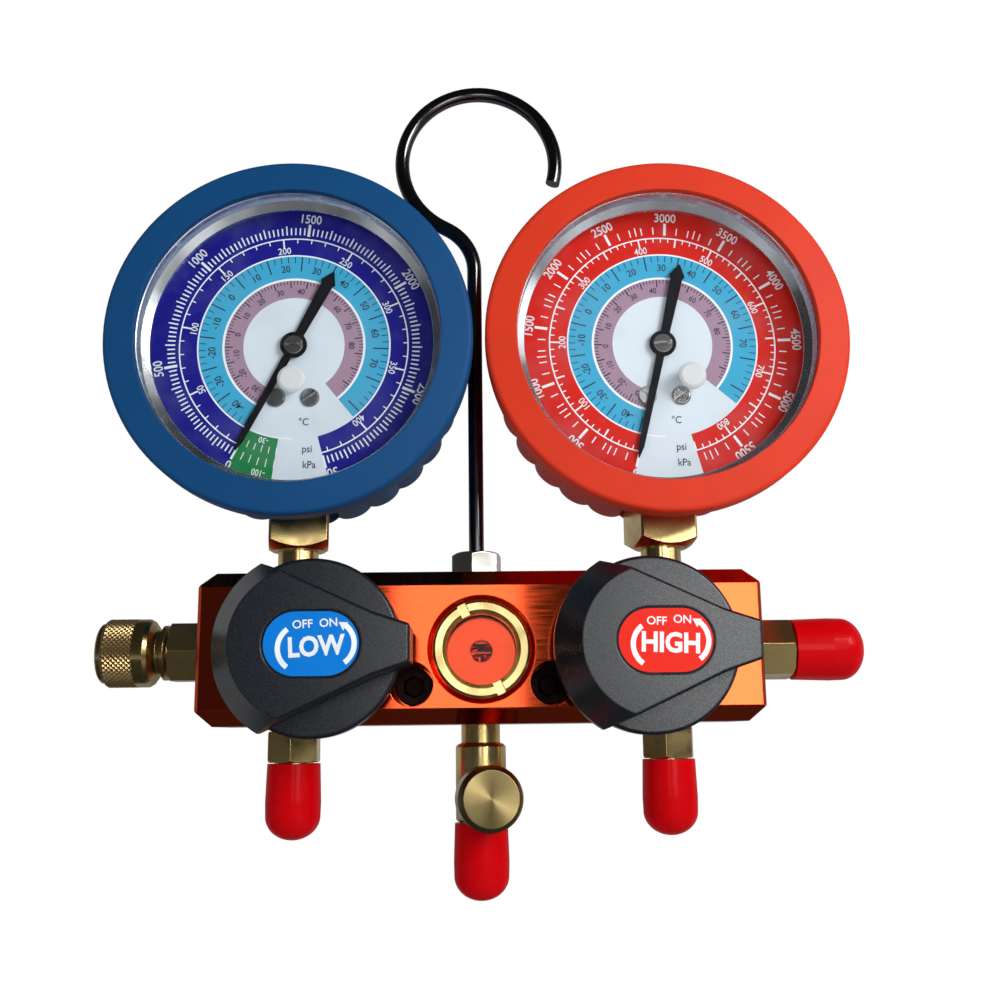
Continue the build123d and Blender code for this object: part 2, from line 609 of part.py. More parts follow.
def pointer(side):
    blade_front, blade_rear = DIAL_FRONT_Y - 1.5, DIAL_FRONT_Y - 1.0
    shoulder = POINTER_HEAD - POINTER_TAIL
    half = [(0.2, -POINTER_TAIL), (POINTER_HEAD_HALF, shoulder), (1.6, shoulder + 0.8),
            (1.1, 0), (0.75, POINTER_TIP - 3), (0.15, POINTER_TIP)]
    blade = outline(*half, *[(-x, z) for x, z in reversed(half)])
    hub = turned_y([(1.2, blade_front - 0.3), (3.2, blade_front - 0.3), (3.5, blade_front),
                    (3.5, blade_rear), (2.0, blade_rear + 0.5), (1.2, blade_rear + 0.5)])
    hand = front_plate(blade - Circle(1.2), blade_front, blade_rear) + hub
    return Rot(0, POINTER_ANGLE[side], 0) * hand


def gauge_socket(side):
    """Brass socket in the gauge's own frame, with the pressure passage up its middle."""
    thread_low = BLOCK_TOP - PORT_THREAD_LENGTH - GAUGE_Z
    neck_low = BLOCK_TOP - GAUGE_Z
    square_low = SOCKET_BOTTOM_Z - GAUGE_Z
    square_high = square_low + 12.6
    socket = turned_z([(0, thread_low), (SOCKET_THREAD_R - 0.6, thread_low),
                       (SOCKET_THREAD_R, thread_low + 0.8), (SOCKET_THREAD_R, neck_low + 0.02),
                       (SOCKET_NECK_R, neck_low + 0.02), (SOCKET_NECK_R, square_low + 1),
                       (0, square_low + 1)])
    square = Rot(0, 0, SOCKET_TURN[side]) * Rectangle(SOCKET_WIDTH, SOCKET_WIDTH)
    wrench = Pos(0, MID_Y, square_low) * extrude(square, amount=square_high - square_low)
    rim = SOCKET_WIDTH * 0.68
    wrench &= turned_z([(0, square_low), (rim - 3.6, square_low), (rim, square_low + 2.2),
                        (rim, square_high), (0, square_high)])
    head_low = square_high - 0.5
    head = Pos(0, MID_Y, (head_low + SOCKET_HEAD_TOP) / 2) * Box(
        SOCKET_HEAD, SOCKET_HEAD, SOCKET_HEAD_TOP - head_low)
    socket = socket + wrench + head - rod_z(1.5, thread_low - 1, SOCKET_HEAD_TOP - 3)
    return socket - bourdon_tube()


# ---- hook ------------------------------------------------------------------------------

HOOK_SPIGOT_R = 4.0


def hook_nut():
    nut_face = RegularPolygon(HOOK_NUT_FLATS / 2, 6, major_radius=False)
    nut = Pos(HOOK_X, MID_Y, BLOCK_TOP) * extrude(Rot(0, 0, 20) * nut_face,
                                                  amount=HOOK_NUT_TOP_Z - BLOCK_TOP)
    corner = HOOK_NUT_FLATS / 2 / cos(radians(30))
    nut &= turned_z([(0, BLOCK_TOP), (corner, BLOCK_TOP), (corner, HOOK_NUT_TOP_Z - 0.9),
                     (corner - 1.3, HOOK_NUT_TOP_Z), (0, HOOK_NUT_TOP_Z)], HOOK_X)
    nut += rod_z(HOOK_SPIGOT_R, HOOK_FOOT_Z + 2.4, BLOCK_TOP, HOOK_X)
    return nut - rod_z(HOOK_WIRE_R + FIT, HOOK_FOOT_Z, HOOK_NUT_TOP_Z + 1, HOOK_X)


def hanger_hook():
    """Straight shank, a reverse bend, then a large round loop, of one wire."""
    bend_x = HOOK_X - HOOK_BEND_R
    span = HOOK_LOOP_R + HOOK_BEND_R
    rise = sqrt(span ** 2 - (HOOK_LOOP_X - bend_x) ** 2)
    bend_z = HOOK_LOOP_Z - rise
    bend_angle = degrees_of(acos((HOOK_LOOP_X - bend_x) / span))
    bend, loop = (bend_x, bend_z), (HOOK_LOOP_X, HOOK_LOOP_Z)
    loop_start = 180 + bend_angle
    loop_middle = (loop_start + HOOK_END_ANGLE) / 2
    place = [(HOOK_X, HOOK_FOOT_Z + 1), polar(HOOK_BEND_R, 0, bend),
             polar(HOOK_BEND_R, bend_angle / 2, bend), polar(HOOK_BEND_R, bend_angle, bend),
             polar(HOOK_LOOP_R, loop_middle, loop), polar(HOOK_LOOP_R, HOOK_END_ANGLE, loop)]
    foot, shank_top, bend_mid, bend_end, loop_mid, tip = [(x, MID_Y, z) for x, z in place]
    path = Wire([Line(foot, shank_top).edge(), ThreePointArc(shank_top, bend_mid, bend_end).edge(),
                 ThreePointArc(bend_end, loop_mid, tip).edge()])
    wire = sweep(Plane(origin=foot, z_dir=(0, 0, 1)) * Circle(HOOK_WIRE_R), path=path)
    return wire + rod_z(3.2, HOOK_FOOT_Z, HOOK_FOOT_Z + 2.0, HOOK_X)


# ---- ports and caps --------------------------------------------------------------------

LEFT_PORT_Z = 0.0


def hex_bar(flats, turn, low, high):
    """A hexagonal bar along Z with both ends chamfered."""
    face = Rot(0, 0, turn) * RegularPolygon(flats / 2, 6, major_radius=False)
    corner = flats / 2 / cos(radians(30))
    bar = Pos(0, 0, low) * extrude(face, amount=high - low)
    return bar & turned_z([(0, low), (corner - 0.7, low), (corner, low + 0.6),
                           (corner, high - 0.6), (corner - 0.7, high), (0, high)], 0, 0)


def hose_fitting(flats, turn, thread_r, shoulder=1.2, hex_length=7.8, nipple=13.6):
    """A flare fitting along Z: its shoulder sits at z = 0 and the nipple points down."""
    hex_low = -shoulder - hex_length
    end = hex_low - nipple
    cone = thread_r - 2.9
    fitting = turned_z([(0, PORT_THREAD_LENGTH), (PORT_BORE_R - THREAD_GAP - 0.6, PORT_THREAD_LENGTH),
                        (PORT_BORE_R - THREAD_GAP, PORT_THREAD_LENGTH - 0.8),
                        (PORT_BORE_R - THREAD_GAP, 0), (5.3, 0), (5.3, -shoulder - 1),
                        (0, -shoulder - 1)], 0, 0)
    fitting += hex_bar(flats, turn, hex_low, -shoulder)
    fitting += turned_z([(0, hex_low + 1), (thread_r - 0.7, hex_low + 1), (thread_r - 0.7, hex_low - 1.2),
                         (thread_r, hex_low - 1.9), (thread_r, end + 4.2),
                         (thread_r - 0.7, end + 3.5), (thread_r - 0.7, end + 2.9), (cone, end),
                         (0, end)], 0, 0)
    return fitting - rod_z(PASSAGE_R, end - 1, PORT_THREAD_LENGTH + 1, 0, 0)


def push_cap(thread_r, top, wall=CAP_WALL, length=19.0, dome=6.0):
    """A soft push-on cap along Z, a little barrel shaped, with a domed end."""
    inner = thread_r + THREAD_GAP
    outer = thread_r + wall
    end = top - length
    closed_end = EllipticalCenterArc((0, end + dome), outer - 0.1, dome, start_angle=270, arc_size=90)
    sides = Polyline((outer - 0.1, end + dome), (outer, top - 0.5 * length), (outer - 0.3, top),
                     (inner, top), (inner, end + 5.0), (inner - 2.4, end + 3.4), (0, end + 2.6),
                     (0, end))
    return revolve(Plane.XZ * make_face(Curve() + [closed_end, sides]), Axis.Z)


def knurled_cap(length=17.6, radius=8.8):
    """Turned brass screw cap along Z, mouth up at z = 0."""
    end = -length
    return turned_z([(FLARE_R + THREAD_GAP, 0), (6.6, 0), (7.1, -0.5), (7.1, -1.4), (6.1, -1.9),
                     (6.1, -2.7), (radius - 0.6, -4.2), (radius, -5.2), (radius, -8.0),
                     (radius - 0.25, -8.3), (radius - 0.25, end + 3.2), (radius - 0.7, end + 1.6),
                     (radius - 1.1, end + 1.4), (radius - 1.1, end + 0.5),
                     (radius - 1.7, end), (0, end), (0, end + 3), (FLARE_R + THREAD_GAP, end + 4)],
                    0, 0)


def tee_body():
    low, top = TEE_BRANCH_Z - 6.2, -BLOCK_TOP
    nipple_end = low - 12.4
    body = turned_z([(0, top + PORT_THREAD_LENGTH), (4.2, top + PORT_THREAD_LENGTH),
                     (4.8, top + PORT_THREAD_LENGTH - 0.8), (4.8, top), (5.0, top), (5.0, top - 4.6),
                     (5.9, top - 5.0), (6.45, top - 5.6), (6.45, low + 0.5), (5.9, low),
                     (FLARE_R - 0.6, low), (FLARE_R - 0.6, low - 1.4), (FLARE_R, low - 2.0),
                     (FLARE_R, nipple_end + 3.6), (FLARE_R - 0.6, nipple_end + 2.7),
                     (2.7, nipple_end), (0, nipple_end)], TEE_X)
    branch = turned_z([(0, -4), (6.0, -4), (6.0, 7.6), (FLARE_R - 0.6, 7.6), (FLARE_R - 0.6, 8.4),
                       (FLARE_R, 9.0), (FLARE_R, 12.2), (3.6, 14.0), (0, 14.0)], 0, 0)
    bore = rod_z(PASSAGE_R - 0.2, 0, 20, 0, 0)
    body += tee_forward() * branch
    body -= tee_forward() * bore
    return body - rod_z(PASSAGE_R, nipple_end - 1, top + PORT_THREAD_LENGTH + 1, TEE_X)


def tee_forward():
    """Placement that takes +Z to the tee's forward branch."""
    turn = radians(TEE_TURN)
    return Plane(origin=(TEE_X, MID_Y, TEE_BRANCH_Z), x_dir=(0, 0, 1),
                 z_dir=(sin(turn), -cos(turn), 0)).location


def tee_cap():
    mouth, face = 8.0, 17.4
    inner = FLARE_R + THREAD_GAP
    return turned_z([(inner, mouth), (7.0, mouth), (7.9, mouth + 1.0), (8.1, mouth + 2.4),
                     (8.1, face - 1.3), (7.5, face - 0.5), (6.9, face), (0, face),
                     (0, face - 2.6), (inner, face - 2.6)], 0, 0)


def along_x(sign, port_z, shape):
    """Place a piece drawn along Z with its mouth up, so that it points out of a block end."""
    place = Plane(origin=(sign * BLOCK_END, MID_Y, port_z), x_dir=(0, 1, 0),
                  z_dir=(-sign, 0, 0)).location
    return place * shape


# ---- write every piece -----------------------------------------------------------------

def write_centre():
    save("manifold_block", manifold_block())
    save("sight_glass_ring", sight_glass_ring())
    save("sight_glass", sight_glass())
    save("sight_glass_seal", sight_glass_seal())
    save("hook_nut", hook_nut())
    save("hanger_hook", hanger_hook())
    save("tee_body", tee_body())
    save("tee_cap", tee_forward() * tee_cap())
    tee_cap_top = TEE_BRANCH_Z - 6.6
    save("tee_hose_cap", Pos(TEE_X, MID_Y, 0) * push_cap(FLARE_R, tee_cap_top))


def write_ports():
    for side, sign, turn in (("low", -1, 30.0), ("high", 1, 17.0)):
        place = Pos(sign * GAUGE_X, MID_Y, -BLOCK_TOP)
        save(f"{side}_hose_fitting", place * hose_fitting(12.4, turn, FLARE_R))
        save(f"{side}_hose_cap", place * push_cap(FLARE_R, -9.3))
    save("right_fitting", along_x(1, AXIS_Z, hose_fitting(14.2, 8.0, BIG_FLARE_R, 0.8, 9.4)))
    save("right_cap", along_x(1, AXIS_Z, push_cap(BIG_FLARE_R, -10.5, 1.8)))
    save("left_fitting", along_x(-1, LEFT_PORT_Z, hose_fitting(14.6, 0.0, FLARE_R, 0.6, 8.6)))
    save("left_cap", along_x(-1, LEFT_PORT_Z, Pos(0, 0, -9.8) * knurled_cap()))


def write_valves():
    save("valve_seats", valve_seats())
    for side, sign in SIDES.items():
        x = sign * VALVE_X
        save(f"{side}_valve_ball", valve_ball(x))
        save(f"{side}_valve_stem", valve_stem(x))
        save(f"{side}_valve_bonnet", valve_bonnet(x))
        save(f"{side}_knob", knob(x))
        save(f"{side}_knob_screw", knob_screw(x))
        save(f"{side}_knob_label", knob_label(x))


def write_gauges():
    for side, sign in SIDES.items():
        pieces = {
            "boot": gauge_boot(),
            "case": gauge_case(),
            "bezel": gauge_bezel(),
            "lens": gauge_lens(*PLUG_PLACE[side]),
            "lens_plug": lens_plug(*PLUG_PLACE[side]),
            "dial": gauge_dial(),
            "dial_screws": Compound([dial_screw(-1).solid(), dial_screw(1).solid()]),
            "pointer": pointer(side),
            "pinion": pinion_arbor(),
            "sector_gear": sector_gear(),
            "tip_link": tip_link(),
            "movement_frame": movement_frame(),
            "bourdon_tube": bourdon_tube(),
            "hairspring": hairspring(),
            "gauge_socket": gauge_socket(side),
        }
        for name, piece in pieces.items():
            save(f"{side}_{name}", Pos(sign * GAUGE_X, 0, GAUGE_Z) * piece)


write_centre()
write_ports()
write_valves()
write_gauges()
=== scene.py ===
"""Dresses a two-gauge refrigerant manifold: its finishes, dial print, lettering and cap knurl,
near-black panel screws whose dark is painted shade standing in for the shade deep in the
counterbores, and the stage that it is shown on."""

from math import atan2, cos, pi, radians, sin

import bpy
from bpy.props import FloatProperty, FloatVectorProperty, IntProperty, PointerProperty
from bpy.types import NodeSocket, Operator, Panel, PropertyGroup
from mathutils import Matrix, Vector


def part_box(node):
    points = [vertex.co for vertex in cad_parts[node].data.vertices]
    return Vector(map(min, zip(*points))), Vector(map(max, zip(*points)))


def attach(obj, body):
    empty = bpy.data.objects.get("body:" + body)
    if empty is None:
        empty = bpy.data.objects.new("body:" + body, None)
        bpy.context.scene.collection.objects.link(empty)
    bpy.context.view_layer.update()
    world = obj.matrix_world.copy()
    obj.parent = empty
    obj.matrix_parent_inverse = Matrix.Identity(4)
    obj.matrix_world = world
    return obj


bl_info = {
    "name": "Refrigerant Manifold Gauge",
    "version": (1, 0, 0),
    "blender": (4, 5, 0),
    "location": "3D View > Sidebar > Manifold",
    "description": "Finishes, dial print and lettering for a two-gauge refrigerant manifold",
    "category": "Object",
}

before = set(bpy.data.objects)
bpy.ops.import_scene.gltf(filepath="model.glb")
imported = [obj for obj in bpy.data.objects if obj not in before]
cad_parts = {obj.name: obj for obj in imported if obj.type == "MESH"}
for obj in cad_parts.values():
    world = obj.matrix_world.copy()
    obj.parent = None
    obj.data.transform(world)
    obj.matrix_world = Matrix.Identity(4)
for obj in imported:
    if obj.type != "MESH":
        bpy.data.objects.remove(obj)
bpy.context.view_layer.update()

MM = 0.001
SIDES = ("low", "high")
NO_TINT = (1.0, 1.0, 1.0)
PRINT_WHITE = (0.92, 0.95, 1.0)
PRINT_DARK = (0.03, 0.03, 0.06)
FULL_TURN = 360.0
UNIT_SWEEP = 352.0
CAPITAL_SHARE = 0.7          # height of a capital as a share of the font's size
LETTER_THICKNESS = 0.00006

# Angles are in degrees clockwise from straight down. start and end are the ends of the pressure
# scale, pastel_end that of the temperature bands, kpa_500 and psi_100 the sweep of such a step.
SCALES = {
    "low": {"start": 27.0, "end": 345.0, "pastel_end": 321.0, "kpa_500": 53.0, "psi_100": 73.2,
            "minor": 20, "minor_width": 0.38, "middle": 100, "middle_outer": 33.4,
            "middle_width": 0.34, "outer_numbers": range(500, 3001, 500),
            "inner_numbers": range(50, 401, 50)},
    "high": {"start": 13.4, "end": 345.0, "pastel_end": 311.0, "kpa_500": 28.3, "psi_100": 39.0,
             "minor": 100, "minor_width": 0.3, "middle": 250, "middle_outer": 33.2,
             "middle_width": 0.3, "outer_numbers": range(500, 5501, 500),
             "inner_numbers": range(100, 801, 100)},
}
VACUUM_START = 8.0

# Print on a dial: its radius, letter height, added boldness and width as a share of the font's.
OUTER_PRINT = {"radius": 0.0353, "bold": 0.00005, "squeeze": 0.86}
INNER_PRINT = {"radius": 0.0263, "height": 0.0018, "bold": 0.00002, "squeeze": 0.9}
ZERO_PRINT = {"radius": 0.0353, "height": 0.0020, "bold": 0.00004}
OUTER_VACUUM_PRINT = {"radius": 0.0348, "height": 0.0017, "bold": 0.00003, "squeeze": 0.8}
INNER_VACUUM_PRINT = {"radius": 0.0263, "height": 0.0015, "bold": 0.00002, "squeeze": 0.9}
OUTER_DEGREE_PRINT = {"radius": 0.0212, "height": 0.0019, "bold": 0.00002, "squeeze": 0.9}
INNER_DEGREE_PRINT = {"radius": 0.0149, "height": 0.0015, "bold": 0.00002, "squeeze": 0.9}
UNIT_PRINT = {"height": 0.0019, "bold": 0.00002, "squeeze": 0.9}
UNIT_RADII = {"kPa": 0.0322, "psi": 0.0280, "\u00b0C": 0.0208}

# Bright cards that the shiny parts mirror: name, place, what they face, width, height and power.
CARDS = (
    ("front_card", (-0.0107, -0.40, 0.035), (-0.0107, 0.0, 0.035), 0.0736, 0.13, 0.079),
    ("side_card", (0.52, -0.26, 0.20), (-0.06, -0.03, 0.06), 0.26, 0.26, 0.34),
    ("right_card", (0.155, -0.40, 0.035), (0.155, 0.0, 0.035), 0.15, 0.13, 0.29),
)
# Dark boards: name, middle, width, depth and how far they are tipped up, in degrees.
BOARDS = (
    ("lower_card", (0.0, -0.11, -0.115), 0.60, 0.34, 0.0),
    ("left_board", (-0.150, -0.402, 0.035), 0.20, 0.20, 90.0),
    ("middle_board", (0.049, -0.402, 0.035), 0.060, 0.14, 90.0),
)
LAMP_AIM = (0.0, -0.02, 0.03)

CAMERA_PLACE = (-0.0021257, -0.3257699, -0.0219176)
CAMERA_YAW, CAMERA_PITCH, CAMERA_ROLL = -1.39206, 11.26411, 0.69104
CAMERA_LENS, CAMERA_SENSOR = 42.4518, 36.0


# ---- sizes and colours -----------------------------------------------------------------

def colour(name, description, default):
    return FloatVectorProperty(name=name, description=description, default=default,
                               subtype="COLOR", size=3, min=0.0, max=1.0)


def length(name, description, default):
    return FloatProperty(name=name, description=description, default=default,
                         unit="LENGTH", min=0.0)


def share(name, description, default):
    return FloatProperty(name=name, description=description, default=default,
                         subtype="FACTOR", min=0.0, max=1.0)


class ManifoldMetals(PropertyGroup):
    block: colour("Block", "Anodising of the manifold block", (0.86, 0.098, 0.028))
    block_gloss: share("Block Roughness", "Roughness of the anodised block", 0.09)
    brass: colour("Brass", "Clean turned brass", (0.76, 0.58, 0.25))
    brass_tarnish: colour("Tarnish", "Darkened brass in corners and patches", (0.30, 0.17, 0.055))
    hook: colour("Hook", "Black chrome of the hanger hook", (0.10, 0.10, 0.11))
    knurl_count: IntProperty(name="Knurl Count", description="Diamonds round the knurled cap",
                             default=42, min=12, max=60)
    knurl_depth: length("Knurl Depth", "Height of one knurl diamond", 0.00036)


class ManifoldGauges(PropertyGroup):
    low_boot: colour("Low Boot", "Rubber boot of the low side", (0.003, 0.066, 0.205))
    high_boot: colour("High Boot", "Rubber boot of the high side", (0.70, 0.040, 0.013))
    low_print: colour("Low Print", "Pressure band of the low dial", (0.010, 0.010, 0.27))
    high_print: colour("High Print", "Pressure band of the high dial", (0.70, 0.016, 0.008))
    outer_band: colour("Outer Band", "Outer temperature band", (0.055, 0.42, 0.68))
    inner_band: colour("Inner Band", "Inner temperature band", (0.40, 0.26, 0.36))
    dial_white: colour("Dial White", "Bare part of the dial", (0.74, 0.82, 0.90))
    vacuum: colour("Vacuum Band", "Vacuum sector of the low dial", (0.006, 0.24, 0.06))
    number_height: length("Number Height", "Height of the outer dial numbers", 0.0024)


class ManifoldValves(PropertyGroup):
    knob: colour("Knob", "Moulded plastic of the valve knobs", (0.005, 0.008, 0.014))
    low_label: colour("Low Label", "Label of the low side", (0.002, 0.19, 0.66))
    high_label: colour("High Label", "Label of the high side", (0.80, 0.020, 0.008))
    cap: colour("Hose Caps", "Dipped vinyl of the hose port caps", (0.60, 0.0, 0.003))
    word_height: length("Word Height", "Capital height of the word on a label", 0.0044)


class ManifoldStage(PropertyGroup):
    key_power: FloatProperty(name="Key Lamp", description="Power of the large lamp at the right",
                             default=4.3, unit="POWER", min=0.0)
    fill_power: FloatProperty(name="Fill Lamp", description="Power of the lamp at the left",
                              default=1.1, unit="POWER", min=0.0)
    sky_light: share("Surrounding Light", "Light that reaches matt surfaces from all round", 0.26)
    floor_drop: length("Floor Drop", "Floor below the middle of the block", 0.25)


# ---- node trees ------------------------------------------------------------------------

def put(tree, kind, *inputs, **settings):
    """Adds a node. Each input is a value or another node's output; None keeps the default."""
    node = tree.nodes.new(kind)
    for name, value in settings.items():
        setattr(node, name, value)
    for socket, value in zip(node.inputs, inputs):
        if isinstance(value, NodeSocket):
            tree.links.new(value, socket)
        elif value is not None:
            socket.default_value = value
    return node


def calc(tree, operation, *values):
    return put(tree, "ShaderNodeMath", *values, operation=operation).outputs[0]


def product(tree, first, *others):
    for other in others:
        first = calc(tree, "MULTIPLY", first, other)
    return first


def between(tree, value, low, high):
    """1 where low < value < high."""
    return calc(tree, "MULTIPLY", calc(tree, "GREATER_THAN", value, low),
                calc(tree, "LESS_THAN", value, high))


def remap(tree, value, from_low, from_high, to_low=0.0, to_high=1.0):
    return put(tree, "ShaderNodeMapRange", value, from_low, from_high, to_low, to_high).outputs[0]


def blend_colour(tree, mask, below, above):
    """Lays one colour over another where the mask is 1."""
    node = tree.nodes.new("ShaderNodeMix")
    node.data_type = "RGBA"
    factor, first, second, mixed = node.inputs[0], node.inputs[6], node.inputs[7], node.outputs[2]
    tree.links.new(mask, factor)
    for socket, value in ((first, below), (second, above)):
        if isinstance(value, NodeSocket):
            tree.links.new(value, socket)
        else:
            socket.default_value = (*value[:3], 1.0)
    return mixed


def shader_group(name, inputs, outputs):
    """An empty group with named sockets: returns it, what comes in and what goes out."""
    group = bpy.data.node_groups.new(name, "ShaderNodeTree")
    for label, kind, default in inputs:
        socket = group.interface.new_socket(label, in_out="INPUT", socket_type="NodeSocket" + kind)
        if default is not None:
            socket.default_value = default
    for label, kind in outputs:
        group.interface.new_socket(label, in_out="OUTPUT", socket_type="NodeSocket" + kind)
    entry = group.nodes.new("NodeGroupInput")
    leave = group.nodes.new("NodeGroupOutput")
    return group, entry.outputs, leave.inputs


def use(tree, name, *inputs):
    """Places a shared group and returns its outputs."""
    return put(tree, "ShaderNodeGroup", *inputs, node_tree=bpy.data.node_groups[name]).outputs


def surface_grain(tree, patch_scale, grain_scale, stretch=(1.0, 1.0, 1.0)):
    """Soft patches and a fine grain, both 0 to 1."""
    return use(tree, "Surface Grain", stretch, patch_scale, grain_scale)


def edge_wear(tree, reach, amount):
    """1 on worn edges, which reach this far from the edge."""
    return use(tree, "Edge Wear", reach, amount)[0]


def own_place(tree):
    """Where a point lies in the piece's own space."""
    return put(tree, "ShaderNodeTexCoord").outputs["Object"]


def millimetres_from(tree, centre):
    """Where a point lies from a centre, in millimetres."""
    return put(tree, "ShaderNodeMapping", own_place(tree), tuple(-c / MM for c in centre), None,
               (1 / MM, 1 / MM, 1 / MM)).outputs[0]


def varied(tree, pattern, low, high):
    """Spreads the middle of a noise pattern over a range."""
    return remap(tree, pattern, 0.3, 0.7, low, high)


def scaled(tint, factor, lift=0.0):
    """A colour made darker or paler, and held within 1."""
    return [min(1.0, c * factor + lift) for c in tint]


def middle_of(node):
    low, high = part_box(node)
    return (low + high) / 2


def make_polar_group():
    """Millimetres from a dial's centre, and degrees clockwise from straight down."""
    group, point, result = shader_group("Dial Polar", [("Point", "Vector", None)],
                                        [("Radius", "Float"), ("Sweep", "Float")])
    axes = put(group, "ShaderNodeSeparateXYZ", point[0]).outputs
    squares = calc(group, "ADD", product(group, axes[0], axes[0]), product(group, axes[2], axes[2]))
    group.links.new(calc(group, "SQRT", squares), result[0])
    left, down = product(group, axes[0], -1.0), product(group, axes[2], -1.0)
    degrees = calc(group, "DEGREES", calc(group, "ARCTAN2", left, down))
    group.links.new(calc(group, "FLOORED_MODULO", degrees, 360.0), result[1])


def make_band_group():
    """1 inside a piece of a ring."""
    group, given, result = shader_group(
        "Dial Band", [("Radius", "Float", 0.0), ("Sweep", "Float", 0.0), ("Inner", "Float", 0.0),
                      ("Outer", "Float", 1.0), ("From", "Float", 0.0), ("To", "Float", 360.0)],
        [("Mask", "Float")])
    ring = between(group, given["Radius"], given["Inner"], given["Outer"])
    part = between(group, given["Sweep"], given["From"], given["To"])
    group.links.new(product(group, ring, part), result[0])


def make_tick_group():
    """1 on the marks of a scale; the step is in degrees and the width in millimetres."""
    group, given, result = shader_group(
        "Dial Ticks", [("Radius", "Float", 0.0), ("Sweep", "Float", 0.0), ("Inner", "Float", 0.0),
                       ("Outer", "Float", 1.0), ("From", "Float", 0.0), ("To", "Float", 360.0),
                       ("Step", "Float", 10.0), ("Width", "Float", 0.3)],
        [("Mask", "Float")])
    swept = calc(group, "SUBTRACT", given["Sweep"], given["From"])
    steps = calc(group, "DIVIDE", swept, given["Step"])
    off = calc(group, "ABSOLUTE", calc(group, "SUBTRACT", steps, calc(group, "ROUND", steps)))
    both_sides = product(group, off, given["Step"], given["Radius"], 2 * pi / 180)
    line = calc(group, "LESS_THAN", both_sides, given["Width"])
    end_mark = 0.4
    first = calc(group, "SUBTRACT", given["From"], end_mark)
    last = calc(group, "ADD", given["To"], end_mark)
    ring = between(group, given["Radius"], given["Inner"], given["Outer"])
    part = between(group, given["Sweep"], first, last)
    group.links.new(product(group, line, ring, part), result[0])


def make_wear_group():
    """1 along sharp edges, broken up so that the wear looks used and not drawn."""
    group, given, result = shader_group(
        "Edge Wear", [("Reach", "Float", 0.0004), ("Amount", "Float", 1.0)], [("Mask", "Float")])
    rounded = put(group, "ShaderNodeBevel", given["Reach"], samples=6).outputs[0]
    true_normal = put(group, "ShaderNodeNewGeometry").outputs["Normal"]
    along = put(group, "ShaderNodeVectorMath", rounded, true_normal, operation="DOT_PRODUCT")
    edge = remap(group, along.outputs["Value"], 0.995, 0.85)
    patches = put(group, "ShaderNodeTexNoise", own_place(group), None, 900.0, 3.0).outputs[0]
    broken = remap(group, patches, 0.35, 0.65)
    group.links.new(product(group, edge, broken, given["Amount"]), result[0])


def make_grain_group():
    """Soft patches and a fine grain, both 0 to 1, in the piece's own space."""
    group, given, result = shader_group(
        "Surface Grain", [("Stretch", "Vector", (1.0, 1.0, 1.0)), ("Patch Scale", "Float", 60.0),
                          ("Grain Scale", "Float", 2500.0)],
        [("Patches", "Float"), ("Grain", "Float")])
    place = own_place(group)
    stretched = put(group, "ShaderNodeVectorMath", place, given["Stretch"],
                    operation="MULTIPLY").outputs[0]
    patches = put(group, "ShaderNodeTexNoise", place, None, given["Patch Scale"], 3.0)
    grain = put(group, "ShaderNodeTexNoise", stretched, None, given["Grain Scale"], 2.0)
    group.links.new(patches.outputs[0], result[0])
    group.links.new(grain.outputs[0], result[1])


def make_groups():
    make_polar_group()
    make_band_group()
    make_tick_group()
    make_wear_group()
    make_grain_group()


# ---- finishes --------------------------------------------------------------------------

def new_finish(name, **sockets):
    """A material with a Principled shader whose plain values are set by socket name."""
    material = bpy.data.materials.new(name)
    material.use_nodes = True
    shader = material.node_tree.nodes["Principled BSDF"]
    for label, value in sockets.items():
        shader.inputs[label.replace("_", " ").title().replace("Ior", "IOR")].default_value = value
    return material, material.node_tree, shader


def feed(tree, shader, **links):
    for label, output in links.items():
        tree.links.new(output, shader.inputs[label.replace("_", " ").title()])


def emboss(tree, shader, height, distance, edge_radius=None):
    """Drives the normal from a height, on top of softly rounded edges where a radius is given."""
    bump = put(tree, "ShaderNodeBump", 1.0, distance)
    tree.links.new(height, bump.inputs["Height"])
    if edge_radius:
        rounded = put(tree, "ShaderNodeBevel", edge_radius, samples=6).outputs[0]
        tree.links.new(rounded, bump.inputs["Normal"])
    tree.links.new(bump.outputs[0], shader.inputs["Normal"])


def paint(material, *nodes):
    """Gives solids of the frame a finish."""
    for node in nodes:
        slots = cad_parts[node].data.materials
        slots.clear()
        slots.append(material)


def anodised_finish(metals):
    """Brushed and dyed aluminium, with paler edges."""
    material, tree, shader = new_finish("anodised_block", metallic=1.0)
    patches, brushed = surface_grain(tree, patch_scale=45.0, grain_scale=2600.0,
                                     stretch=(0.04, 1.0, 1.0))
    worn = edge_wear(tree, reach=0.0003, amount=0.5)
    tone = blend_colour(tree, patches, scaled(metals.block, 0.86), metals.block)
    pale = scaled(metals.block, 1.25, 0.12)
    gloss = metals.block_gloss
    feed(tree, shader, base_color=blend_colour(tree, worn, tone, pale),
         roughness=varied(tree, brushed, gloss - 0.03, gloss + 0.04))
    emboss(tree, shader, brushed, distance=0.000004, edge_radius=0.0003)
    return material


def brass_finish(metals, name="brass", tarnished=0.5, gloss=0.2, darker=1.0):
    """Turned brass with tarnished patches and rubbed edges."""
    material, tree, shader = new_finish(name, metallic=1.0)
    patches, lines = surface_grain(tree, patch_scale=160.0, grain_scale=1900.0)
    worn = edge_wear(tree, reach=0.00035, amount=0.7)
    dull = remap(tree, patches, 0.42, 0.72, 0.0, tarnished)
    clean = scaled(metals.brass, darker)
    tone = blend_colour(tree, dull, clean, metals.brass_tarnish)
    feed(tree, shader, base_color=blend_colour(tree, worn, tone, scaled(clean, 1.2, 0.05)),
         roughness=varied(tree, patches, gloss - 0.05, gloss + 0.1))
    emboss(tree, shader, lines, distance=0.000006, edge_radius=0.00022)
    return material


